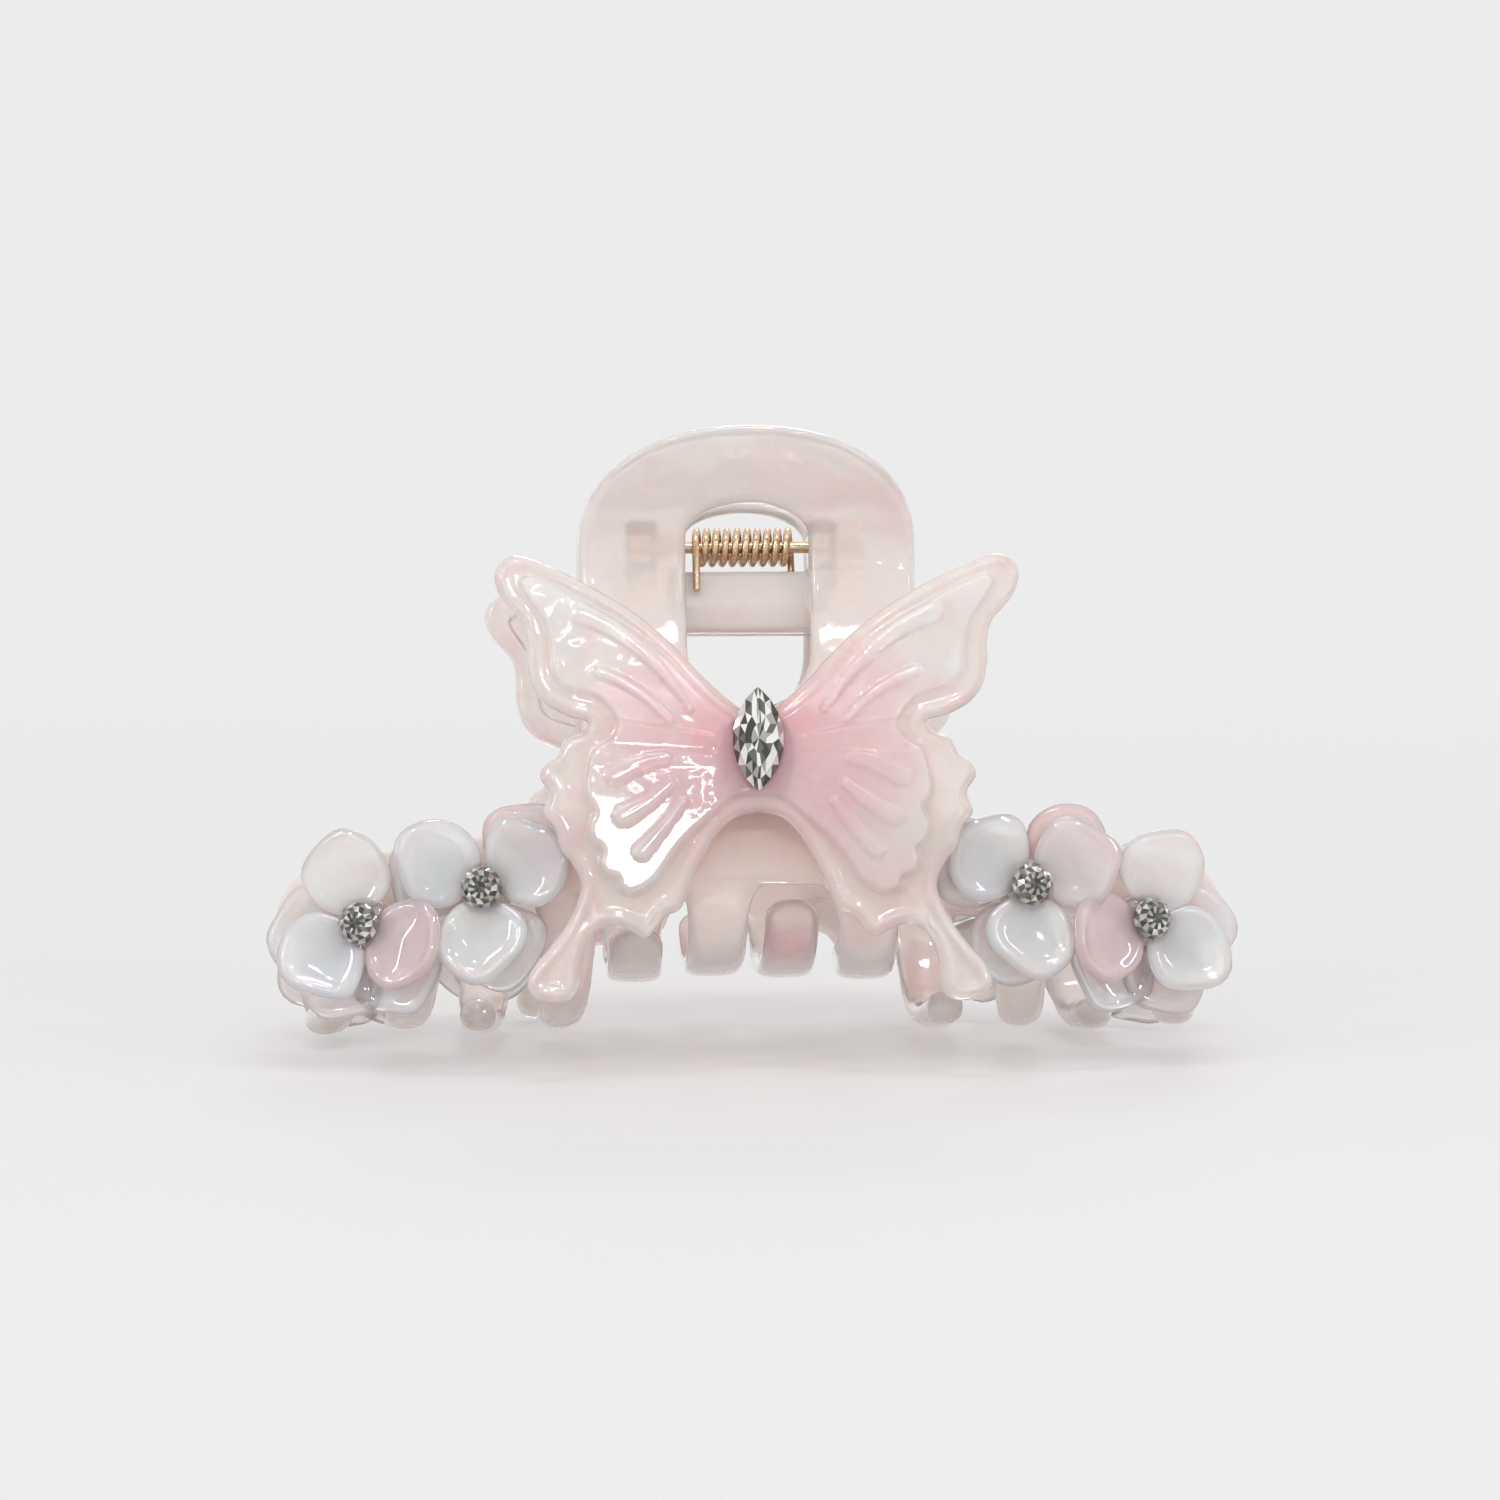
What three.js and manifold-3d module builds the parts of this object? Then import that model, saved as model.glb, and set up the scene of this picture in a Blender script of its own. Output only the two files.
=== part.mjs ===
// Rhinestone hair clip: a two-jaw claw clip with a moulded butterfly, four stone-set flowers on each jaw,
// a hinge pin and a torsion spring. Millimetres, +X along the hinge, -Y to the front, +Z up.
// Both jaws are the same moulding, the rear one turned half a turn about the vertical.
import * as THREE from 'three';
import { mergeVertices } from 'three/addons/utils/BufferGeometryUtils.js';
import Module from 'manifold-3d';

const wasm = await Module();
wasm.setup();

// ---- driving dimensions (mm, degrees) ----
const GLUE_GAP = 0.3; // left between two pieces that are glued or rest on each other
const LEAN = 10; // the clip leans back on its rear flowers

// hinge
const PIN_RADIUS = 0.7;
const PIN_LENGTH = 28.4;
const PIN_CLEARANCE = 0.3;
const LUG_RADIUS = 3.0;
const LUG_WIDTH = 3.1;
const LUG_SIDE_CLEARANCE = 0.35;
const LUG_SWING_CLEARANCE = 0.6; // between a lug's round end and the other jaw's plate
const LUG_ROOT_TOP = 3.0; // where the lug leaves the plate, above and below the pin
const LUG_ROOT_BOTTOM = -7.4;

// window and crossbar
const WINDOW_HALF_WIDTH = 7.2;
const WINDOW_TOP = 4.6;
const WINDOW_ARCH = 3.6;
const WINDOW_BOTTOM = -20;
const BAR_TOP = -3.0;
const BAR_RIDGE = -7.2;
const BAR_BOTTOM = -10.4;
const BAR_THICKNESS = 2.6;
const BAR_SEAT = 1.8; // how far each end of the crossbar runs into the plate

// jaw plate
const PLATE_THICKNESS = 2.8;
const TAB_HALF_WIDTH = 19.5;
const TAB_RISE = 13.4;
const TAB_SQUARENESS = 2.2; // exponent of the dome outline: 2 is an ellipse
const TAB_FLAT_FROM = 4; // above this height the thumb tab is flat and leans out
const TAB_FLARE = 33; // degrees from upright
const NECK_BOTTOM = -24; // the straight neck ends here and sweeps out into the band
const BAND_HALF_LENGTH = 56;
const BAND_TOP = -33.2; // at the middle
const BAND_BOTTOM = -41;
const BAND_TOP_DROOP = 5.5; // how far the ends hang below the middle
const BAND_BOTTOM_DROOP = 9;
const BAND_REACH = 20.5; // from the hinge plane to the outer face of the band, at the middle
const BOW_DEPTH = 20; // plan curve of the band: a quarter ellipse each side
const BOW_END_MARGIN = 6; // the ellipse closes this far past the end of the band

// teeth
const TOOTH_COUNT = 6;
const TOOTH_PITCH = 17.3;
const TOOTH_WIDTH = 6.2;
const TOOTH_THICKNESS = 2.6;
const TOOTH_STEP_BACK = 0.2; // the front of a tooth stands this far behind the face of the band
const TOOTH_TIP_SCALE = 0.72;
const TOOTH_SLANT = 0.06; // sideways shift of the tip for each mm from the middle
const FIRST_TOOTH = -38.9; // keeps a tooth of one jaw midway between two of the other

// butterfly
const STONE_HEIGHT = -24.6; // height of the big stone and of the butterfly's centre
const WING_STANDOFF = 4.7; // from the inner flowers' seats to the wings, beside the rise of the petals
const BUTTERFLY_THICKNESS = 2.2;
const WING_SWEEP = 2.5; // how far the wing tips stand in front of the middle
const WING_HALF_SPAN = 29;
const BOSS_HALF_WIDTH = 4.2;
const BOSS_TOP = 3; // the boss, from the butterfly's centre
const BOSS_BOTTOM = -7;
const NAVETTE_LENGTH = 12;
const NAVETTE_WIDTH = 6;
const NAVETTE_HEIGHT = 2.8;

// flowers
const OUTER_FLOWER_X = 44.6;
const OUTER_FLOWER_DROP = 3.5; // below the middle line of the band
const INNER_FLOWER_X = 31;
const INNER_FLOWER_DROP = 1.98;
const ROUND_STONE_DIAMETER = 4.8;
const ROUND_STONE_HEIGHT = 2.2;
const PETAL_WIDTH = 8.6;
const PETAL_LENGTH = 8.9;
const PETAL_POINT = 0.5; // how far the pointed tip stands out
const PETAL_THICKNESS = 1.2;
const CORE_RADIUS = 3.1;
const CORE_THICKNESS = 1.7;
const UPPER_WHORL = { radius: 5.7, lift: 0.9, tilt: 0.14, cup: 0.9 };
const LOWER_WHORL = { radius: 6.6, lift: 1.2, tilt: 0, cup: 0.5 };

// spring
const WIRE_RADIUS = 0.44;
const COIL_RADIUS = 1.9; // to the middle of the wire
const COIL_PITCH = 1.2;
const COIL_TURNS = 9.5;
const COIL_START = -5.9;
const LEG_LENGTH = 6.6;
const LEG_TILT = 22; // degrees from upright

// ---- materials ----
const pearl = (color) => new THREE.MeshStandardMaterial({ color, roughness: 0.15, metalness: 0 });
const JAW_PINK = pearl(0xe3c9c0);
const WING_PINK = pearl(0xe4c3c3);
const PETAL_WHITE = pearl(0xdedcdc);
const PETAL_BLUSH = pearl(0xe2cfcb);
const CRYSTAL = new THREE.MeshStandardMaterial({ color: 0xc9ccca, roughness: 0.05, metalness: 0.6 });
const ROSE_GOLD = new THREE.MeshStandardMaterial({ color: 0xc79a72, roughness: 0.25, metalness: 1 });

// ---- solids ----
function solid(geometry) {
  const bare = geometry.clone();
  bare.deleteAttribute('normal');
  bare.deleteAttribute('uv');
  const merged = mergeVertices(bare, 1e-4);
  return new wasm.Manifold(new wasm.Mesh({
    numProp: 3,
    vertProperties: new Float32Array(merged.attributes.position.array),
    triVerts: new Uint32Array(merged.index.array),
  }));
}

function geometryOf(manifold) {
  const mesh = manifold.getMesh();
  const geometry = new THREE.BufferGeometry();
  geometry.setAttribute('position', new THREE.BufferAttribute(mesh.vertProperties, 3));
  geometry.setIndex(new THREE.BufferAttribute(mesh.triVerts, 1));
  geometry.computeVertexNormals();
  return geometry;
}

// A closed skin over rings of equal length: each ring is joined to the next, and the ends are capped.
function loft(rings) {
  const count = rings[0].length;
  const points = rings.flat();
  const faces = [];
  for (let i = 0; i + 1 < rings.length; i += 1) {
    for (let j = 0; j < count; j += 1) {
      const a = i * count + j;
      const b = i * count + ((j + 1) % count);
      faces.push(a, b, b + count, a, b + count, a + count);
    }
  }
  const last = (rings.length - 1) * count;
  for (let j = 1; j + 1 < count; j += 1) {
    faces.push(0, j + 1, j, last, last + j, last + j + 1);
  }
  return skin(points, faces);
}

// A BufferGeometry from points and triangles, turned the right way out.
function skin(points, faces) {
  let volume = 0;
  for (let i = 0; i < faces.length; i += 3) {
    const [a, b, c] = [points[faces[i]], points[faces[i + 1]], points[faces[i + 2]]];
    volume += a.dot(b.clone().cross(c));
  }
  if (volume < 0) faces.reverse();
  const geometry = new THREE.BufferGeometry();
  const numbers = points.flatMap((p) => [p.x, p.y, p.z]);
  geometry.setAttribute('position', new THREE.Float32BufferAttribute(numbers, 3));
  geometry.setIndex(faces);
  geometry.computeVertexNormals();
  return geometry;
}

// A bent plate over a grid of x and z, from its front face y = front(x, z) back to y = back(x, z).
function bentPlate(xs, zs, front, back) {
  const rows = zs.map((z) => [
    ...xs.map((x) => new THREE.Vector3(x, front(x, z), z)),
    ...xs.map((x) => new THREE.Vector3(x, back(x, z), z)).reverse(),
  ]);
  return ribbonStack(rows, xs.length);
}

// Rows of 2n points (front then back, reversed) joined into one body with quads across each end row.
function ribbonStack(rows, n) {
  const points = rows.flat();
  const count = 2 * n;
  const faces = [];
  for (let i = 0; i + 1 < rows.length; i += 1) {
    for (let j = 0; j < count; j += 1) {
      const a = i * count + j;
      const b = i * count + ((j + 1) % count);
      faces.push(a, b, b + count, a, b + count, a + count);
    }
  }
  const last = (rows.length - 1) * count;
  for (let j = 0; j + 1 < n; j += 1) {
    const mate = count - 1 - j;
    faces.push(j, mate, mate - 1, j, mate - 1, j + 1);
    faces.push(last + j, last + j + 1, last + mate - 1, last + j, last + mate - 1, last + mate);
  }
  return skin(points, faces);
}

function steps(from, to, count) {
  return Array.from({ length: count + 1 }, (_, i) => from + ((to - from) * i) / count);
}

const radians = THREE.MathUtils.degToRad;

// An outline drawn in x and z, made into a prism that runs along y.
function prismAlongY(outline, fromY, toY) {
  const geometry = new THREE.ExtrudeGeometry(outline, { depth: toY - fromY, bevelEnabled: false });
  geometry.rotateX(Math.PI / 2); // x, y, depth -> x, -depth, y
  geometry.translate(0, toY, 0);
  return geometry;
}

// An outline drawn in y and z, made into a prism that runs along x.
function prismAlongX(outline, fromX, toX) {
  const geometry = new THREE.ExtrudeGeometry(outline, { depth: toX - fromX, bevelEnabled: false });
  geometry.applyMatrix4(new THREE.Matrix4().set(0, 0, 1, fromX, 1, 0, 0, 0, 0, 1, 0, 0, 0, 0, 0, 1));
  return geometry;
}

// ---- jaw plate surface ----
const bowHalfLength = BAND_HALF_LENGTH + BOW_END_MARGIN;
const bow = (x) => BOW_DEPTH * (1 - Math.sqrt(Math.max(0, 1 - (x / bowHalfLength) ** 2)));
const bowSlope = (x) => (bow(x + 1) - bow(x - 1)) / 2;

// From the pin to the outer face of the plate: the other jaw's lug turns behind it.
const hingeToPlate = LUG_RADIUS + LUG_SWING_CLEARANCE + PLATE_THICKNESS;

// Outer face of the jaw at the middle, from the flat thumb tab down over the belly to the band.
const tabTop = TAB_FLAT_FROM + 12;
const tabSlope = Math.tan(radians(TAB_FLARE));
const belly = new THREE.CatmullRomCurve3([
  new THREE.Vector3(0, -(hingeToPlate + 1.2), TAB_FLAT_FROM),
  new THREE.Vector3(0, -hingeToPlate, 0),
  new THREE.Vector3(0, -(hingeToPlate + 0.3), -5),
  new THREE.Vector3(0, -(hingeToPlate + 2.2), -10),
  new THREE.Vector3(0, -(hingeToPlate + BAND_REACH) / 2, -18),
  new THREE.Vector3(0, -(BAND_REACH - 3.2), -26),
  new THREE.Vector3(0, -(BAND_REACH - 0.7), -33),
  new THREE.Vector3(0, -BAND_REACH, -40),
  new THREE.Vector3(0, -(BAND_REACH - 0.3), 1.4 * BAND_BOTTOM),
], false, 'centripetal').getPoints(160);

function middleFace(z) {
  if (z >= TAB_FLAT_FROM) return belly[0].y - (z - TAB_FLAT_FROM) * tabSlope;
  const next = belly.findIndex((point) => point.z <= z);
  const [a, b] = [belly[Math.max(0, next - 1)], belly[Math.max(1, next)]];
  return a.y + ((b.y - a.y) * (z - a.z)) / (b.z - a.z);
}

// The tab is flat across; the bow grows in below the hinge.
const bowShare = (z) => THREE.MathUtils.smoothstep(TAB_FLAT_FROM - z, 0, 16);
const jawFace = (x, z) => middleFace(z) + bow(x) * bowShare(z);

function jawBack(x, z) {
  const e = 0.5;
  const slopeX = (jawFace(x + e, z) - jawFace(x - e, z)) / (2 * e);
  const slopeZ = (jawFace(x, z + e) - jawFace(x, z - e)) / (2 * e);
  return jawFace(x, z) + PLATE_THICKNESS * Math.hypot(1, slopeX, slopeZ);
}

// ---- jaw outline ----
const droop = (x, depth) => depth * (x / BAND_HALF_LENGTH) ** 2;
const bandTop = (x) => BAND_TOP - droop(x, BAND_TOP_DROOP);
const bandBottom = (x) => BAND_BOTTOM - droop(x, BAND_BOTTOM_DROOP);

function jawOutline() {
  const dome = steps(0, Math.PI, 22).map((t) => new THREE.Vector2(
    TAB_HALF_WIDTH * Math.sign(Math.cos(t)) * Math.abs(Math.cos(t)) ** (2 / TAB_SQUARENESS),
    TAB_RISE * Math.sin(t) ** (2 / TAB_SQUARENESS),
  ));
  const shoulderEnd = TAB_HALF_WIDTH + 6;
  const endStart = BAND_HALF_LENGTH - 6;
  const neck = new THREE.QuadraticBezierCurve(
    new THREE.Vector2(TAB_HALF_WIDTH, NECK_BOTTOM),
    new THREE.Vector2(TAB_HALF_WIDTH + 0.3, bandTop(shoulderEnd) + 0.6),
    new THREE.Vector2(shoulderEnd, bandTop(shoulderEnd)),
  ).getPoints(5);
  const top = steps(shoulderEnd, endStart, 5).map((x) => new THREE.Vector2(x, bandTop(x))).slice(1, -1);
  const end = new THREE.CubicBezierCurve(
    new THREE.Vector2(endStart, bandTop(endStart)),
    new THREE.Vector2(BAND_HALF_LENGTH + 1.5, bandTop(BAND_HALF_LENGTH)),
    new THREE.Vector2(BAND_HALF_LENGTH + 1.5, bandBottom(BAND_HALF_LENGTH)),
    new THREE.Vector2(endStart, bandBottom(endStart)),
  ).getPoints(8);
  const bottom = steps(endStart, 0, 8).map((x) => new THREE.Vector2(x, bandBottom(x))).slice(1, -1);
  const half = [...neck, ...top, ...end, ...bottom];
  const mirrored = half.map((p) => new THREE.Vector2(-p.x, p.y)).reverse();
  const middle = new THREE.Vector2(0, bandBottom(0));
  return new THREE.Shape([...dome, ...mirrored.reverse(), middle, ...half.reverse()]);
}

function windowOutline() {
  const arch = steps(0, Math.PI, 10).map((t) => new THREE.Vector2(
    WINDOW_HALF_WIDTH * Math.cos(t),
    WINDOW_TOP - WINDOW_ARCH + WINDOW_ARCH * Math.sin(t),
  ));
  const sill = steps(Math.PI, 2 * Math.PI, 10).map((t) => new THREE.Vector2(
    WINDOW_HALF_WIDTH * Math.cos(t),
    WINDOW_BOTTOM + WINDOW_HALF_WIDTH + WINDOW_HALF_WIDTH * Math.sin(t),
  ));
  return new THREE.Shape([...arch, ...sill]);
}

// ---- lugs, crossbar, teeth ----
const innerLug = WINDOW_HALF_WIDTH + 0.2;
const outerLug = innerLug + LUG_WIDTH + LUG_SIDE_CLEARANCE;

function lugOutline() {
  const root = -(hingeToPlate - 0.8);
  const round = steps(100, -100, 10).map((a) => new THREE.Vector2(
    LUG_RADIUS * Math.cos(radians(a)),
    LUG_RADIUS * Math.sin(radians(a)),
  ));
  const [top, bottom] = [new THREE.Vector2(root, LUG_ROOT_TOP), new THREE.Vector2(root, LUG_ROOT_BOTTOM)];
  return new THREE.Shape([top, ...round, bottom]);
}

// From the side: a top facet that leans out to a ridge, and a lower facet that falls back from it.
function crossbarOutline() {
  return new THREE.Shape([
    new THREE.Vector2(-2.5, BAR_TOP),
    new THREE.Vector2(-4.2, BAR_RIDGE),
    new THREE.Vector2(-4.0, BAR_BOTTOM),
    new THREE.Vector2(-4.0 + BAR_THICKNESS, BAR_BOTTOM + 0.3),
    new THREE.Vector2(-4.2 + BAR_THICKNESS + 0.4, BAR_TOP - 0.3),
  ]);
}

// Side path of a tooth, as y and z: the middle teeth curl up at the tip, the outer ones reach down.
// Each row: inward reach of the tip, height of the lowest point, height of the tip.
const TOOTH_PATHS = [
  { reach: 33, low: -49.6, tip: -42.5 },
  { reach: 32, low: -50.0, tip: -46.0 },
  { reach: 26, low: -55.2, tip: -54.6 },
  { reach: 20, low: -55.4, tip: -55.0 },
  { reach: 15, low: -55.4, tip: -55.2 },
  { reach: 10, low: -55.4, tip: -55.4 },
];

function tooth(x) {
  const rank = Math.min(TOOTH_PATHS.length - 1, Math.round(Math.abs(x) / (TOOTH_PITCH / 2) - 0.5));
  const { reach, low, tip } = TOOTH_PATHS[rank];
  const root = bandBottom(x);
  const face = jawFace(x, root) + TOOTH_STEP_BACK + TOOTH_THICKNESS / 2;
  const drop = root - low;
  const path = new THREE.CatmullRomCurve3([
    new THREE.Vector3(x, face, root + 1.6),
    new THREE.Vector3(x, face + 0.02 * reach, root - 0.35 * drop),
    new THREE.Vector3(x, face + 0.16 * reach, root - 0.8 * drop),
    new THREE.Vector3(x, face + 0.42 * reach, low + 0.1),
    new THREE.Vector3(x, face + 0.7 * reach, low + 0.12 * (tip - low)),
    new THREE.Vector3(x, face + 0.92 * reach, low + 0.55 * (tip - low)),
    new THREE.Vector3(x, face + reach, tip),
  ], false, 'centripetal');
  const sections = 9;
  const rings = [];
  for (let i = 0; i <= sections; i += 1) {
    const t = i / sections;
    const at = path.getPointAt(t);
    const along = path.getTangentAt(t);
    const across = new THREE.Vector3(1, 0, 0);
    const outward = along.clone().cross(across);
    const shrink = i === sections ? 0.6 : 1;
    const scale = (1 - (1 - TOOTH_TIP_SCALE) * t) * shrink;
    const [w, h] = [(TOOTH_WIDTH / 2) * scale, (TOOTH_THICKNESS / 2) * scale];
    at.x += x * TOOTH_SLANT * t;
    const corner = 0.55;
    const section = [[w, -h * corner], [w, h * corner], [w * 0.8, h], [-w * 0.8, h],
      [-w, h * corner], [-w, -h * corner], [-w * 0.8, -h], [w * 0.8, -h]];
    rings.push(section.map(([u, v]) => at.clone().addScaledVector(across, u).addScaledVector(outward, v)));
  }
  return loft(rings);
}

function jaw() {
  const xs = steps(-BAND_HALF_LENGTH - 1.5, BAND_HALF_LENGTH + 1.5, 24);
  const zs = [-52, -45, -40, -35, -30, -26, -22, -18, -13, -9, -4, 0, TAB_FLAT_FROM, tabTop];
  let body = solid(bentPlate(xs, zs, jawFace, jawBack));
  body = body.intersect(solid(prismAlongY(jawOutline(), -60, 30)));
  body = body.subtract(solid(prismAlongY(windowOutline(), -60, 30)));
  for (const from of [innerLug, -(outerLug + LUG_WIDTH)]) {
    body = body.add(solid(prismAlongX(lugOutline(), from, from + LUG_WIDTH)));
  }
  const barEnd = WINDOW_HALF_WIDTH + BAR_SEAT;
  body = body.add(solid(prismAlongX(crossbarOutline(), -barEnd, barEnd)));
  for (let i = 0; i < TOOTH_COUNT; i += 1) {
    body = body.add(solid(tooth(FIRST_TOOTH + i * TOOTH_PITCH)));
  }
  const bore = new THREE.CylinderGeometry(PIN_RADIUS + PIN_CLEARANCE, PIN_RADIUS + PIN_CLEARANCE, 60, 12);
  bore.rotateZ(Math.PI / 2);
  return geometryOf(body.subtract(solid(bore)));
}

// ---- butterfly ----
// Half outline from the notch between the upper wings, round the wing tips and the tail, to the body's end.
const HALF_WING = [
  [2.2, 3.9], [5.7, 6.9], [10.1, 11.5], [14.5, 15.1], [18.9, 17.7], [23.3, 19.9], [26.6, 21.2],
  [28.4, 21.3], [29.9, 20.2], [30.3, 18.6], [29.4, 16.2], [27.2, 13.6], [26.6, 11.3], [26.6, 8.8],
  [25.9, 5.9], [24.4, 4.1], [22.0, 2.8], [19.6, 2.0], [20.2, 1.0], [22.2, 0.1], [23.3, -1.9],
  [24.7, -2.9], [25.2, -4.2], [24.1, -6.2], [24.8, -8.4], [23.5, -10.3], [22.9, -12.6], [21.6, -14.2],
  [20.6, -16.8], [21.3, -19.3], [22.6, -21.7], [24.4, -24.1], [26.0, -26.0],
  [26.8, -28.0], [26.0, -29.6], [24.0, -30.2], [22.0, -30.0], [21.0, -28.6], [20.8, -26.5], [20.3, -24.4],
  [19.4, -22.6], [18.2, -21.7], [16.7, -21.4], [14.9, -22.0], [13.2, -22.8], [12.0, -21.8], [10.8, -20.3],
  [9.2, -19.6], [8.3, -17.9], [7.2, -15.2], [5.8, -12.5], [4.4, -10.4], [2.6, -8.9],
];

function butterflyOutline() {
  const right = HALF_WING.map(([x, z]) => new THREE.Vector2(x, z + STONE_HEIGHT));
  const left = HALF_WING.map(([x, z]) => new THREE.Vector2(-x, z + STONE_HEIGHT)).reverse();
  return new THREE.Shape([...right, ...left]);
}

// The inner flowers' petals rise towards the wings, so the wings' reach follows their seat and length.
const petalReach = UPPER_WHORL.radius + PETAL_LENGTH / 2 + PETAL_POINT;
const petalRise = (UPPER_WHORL.tilt + bowSlope(INNER_FLOWER_X)) * petalReach;
const butterflyReach = BAND_REACH - bow(INNER_FLOWER_X) + petalRise + WING_STANDOFF;
const wingFace = (x) => -butterflyReach - WING_SWEEP * (Math.abs(x) / WING_HALF_SPAN) ** 1.5;

function butterfly() {
  const xs = steps(-31, 31, 14);
  const zs = [STONE_HEIGHT - 32, STONE_HEIGHT + 23];
  const plate = solid(bentPlate(xs, zs, wingFace, (x) => wingFace(x) + BUTTERFLY_THICKNESS));
  const cut = plate.intersect(solid(prismAlongY(butterflyOutline(), -60, 0)));
  // the boss behind the body follows the jaw's belly, a glue line away from it
  const bossXs = [-BOSS_HALF_WIDTH, 0, BOSS_HALF_WIDTH];
  const bossZs = steps(STONE_HEIGHT + BOSS_BOTTOM, STONE_HEIGHT + BOSS_TOP, 5);
  const inWing = (x) => wingFace(x) + BUTTERFLY_THICKNESS / 2;
  const boss = bentPlate(bossXs, bossZs, inWing, (x, z) => jawFace(x, z) - GLUE_GAP);
  return geometryOf(cut.add(solid(boss)));
}

// ---- stones ----
// A cut stone on a flat back: rings of the girdle outline, scaled, from the back to the table.
function cutStone(outline, height) {
  const levels = [[0.72, 0], [1, 0.36], [1, 0.46], [0.5, 1]];
  return loft(levels.map(([scale, level]) => outline.map(
    ([x, z]) => new THREE.Vector3(x * scale, -height * level, z * scale),
  )));
}

const roundOutline = steps(0, 2 * Math.PI, 12).slice(0, -1).map((a) => [
  (ROUND_STONE_DIAMETER / 2) * Math.cos(a),
  (ROUND_STONE_DIAMETER / 2) * Math.sin(a),
]);

// Two arcs that meet in points above and below.
function navetteOutline() {
  const [a, b] = [NAVETTE_LENGTH / 2, NAVETTE_WIDTH / 2];
  const radius = (a * a + b * b) / (2 * b);
  const side = steps(-a, a, 6).slice(0, -1);
  const bulge = (z) => Math.sqrt(radius * radius - z * z) - (radius - b);
  return [...side.map((z) => [-bulge(z), z]), ...side.map((z) => [bulge(z), -z])];
}

// ---- flowers ----
// One dished petal lying in x and z with its root towards the flower's centre, front face to -y.
function petal(angle, whorl, front) {
  const spokes = 9;
  const across = new THREE.Vector2(-Math.sin(angle), Math.cos(angle));
  const out = new THREE.Vector2(Math.cos(angle), Math.sin(angle));
  const place = (a, share, side) => {
    const tip = PETAL_POINT * Math.max(0, Math.cos(a)) ** 12;
    const radial = whorl.radius + share * (PETAL_LENGTH / 2 + tip) * Math.cos(a);
    const sideways = share * (PETAL_WIDTH / 2) * Math.sin(a);
    const x = out.x * radial + across.x * sideways;
    const z = out.y * radial + across.y * sideways;
    const outward = 0.5 + 0.5 * Math.cos(a); // the cup fades to nothing at the root, where the stone sits
    const depth = front + whorl.lift + whorl.tilt * radial + whorl.cup * share * share * outward;
    return new THREE.Vector3(x, -(depth + side * (PETAL_THICKNESS / 2) * (1 - 0.35 * share ** 4)), z);
  };
  const spokeAngles = steps(0, 2 * Math.PI, spokes).slice(0, -1);
  const ring = (share, side) => spokeAngles.map((a) => place(a, share, side));
  return loft([ring(0.5, -1), ring(1, -1), ring(1, 1), ring(0.5, 1)]);
}

// Three petals on a small round core, whose back lies in the plane y = -front.
function whorl(angles, shape, front) {
  const core = new THREE.CylinderGeometry(CORE_RADIUS, CORE_RADIUS, CORE_THICKNESS, 10);
  core.translate(0, -(front + CORE_THICKNESS / 2), 0);
  let body = solid(core);
  for (const angle of angles) {
    body = body.add(solid(petal(radians(angle), shape, front)));
  }
  return geometryOf(body);
}

// How each flower's petals are turned, in degrees, seen from the front, left to right.
const FLOWERS = [
  { name: 'left_outer', side: -1, outer: true, upper: [104, 219, 334], lower: [187, 245, 303] },
  { name: 'left_inner', side: -1, outer: false, upper: [151, 31, 269], lower: [47, 165, 285] },
  { name: 'right_inner', side: 1, outer: false, upper: [147, 24, 269], lower: [40, 160, 255] },
  { name: 'right_outer', side: 1, outer: true, upper: [74, 323, 202], lower: [355, 295, 237] },
];

const upperFront = CORE_THICKNESS + GLUE_GAP;
const stoneFront = upperFront + CORE_THICKNESS + GLUE_GAP;

// The flower turns to face along the normal of the bowed band, and the rim of its core clears the band.
function flower(jawName, { name, side, outer, upper, lower }) {
  const group = new THREE.Group();
  const x = side * (outer ? OUTER_FLOWER_X : INNER_FLOWER_X);
  const z = (bandTop(x) + bandBottom(x)) / 2 - (outer ? OUTER_FLOWER_DROP : INNER_FLOWER_DROP);
  const slope = bowSlope(x);
  const rim = steps(0, 2 * Math.PI, 12).map((a) => {
    const [u, v] = [CORE_RADIUS * Math.cos(a), CORE_RADIUS * Math.sin(a)];
    return jawFace(x + u, z + v) - slope * u;
  });
  group.rotation.z = Math.atan(slope);
  group.position.set(x, Math.min(jawFace(x, z), ...rim) - GLUE_GAP, z);
  const stone = cutStone(roundOutline, ROUND_STONE_HEIGHT).translate(0, -stoneFront, 0);
  const upperPetals = whorl(upper, UPPER_WHORL, upperFront);
  group.add(node(`${jawName}_${name}_lower_petals`, whorl(lower, LOWER_WHORL, 0), PETAL_BLUSH));
  group.add(node(`${jawName}_${name}_upper_petals`, upperPetals, side > 0 ? PETAL_BLUSH : PETAL_WHITE));
  group.add(node(`${jawName}_${name}_rhinestone`, stone, CRYSTAL));
  return group;
}

// ---- hinge pin and spring ----
function hingePin() {
  const pin = new THREE.CylinderGeometry(PIN_RADIUS, PIN_RADIUS, PIN_LENGTH, 10);
  return pin.rotateZ(Math.PI / 2);
}

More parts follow.
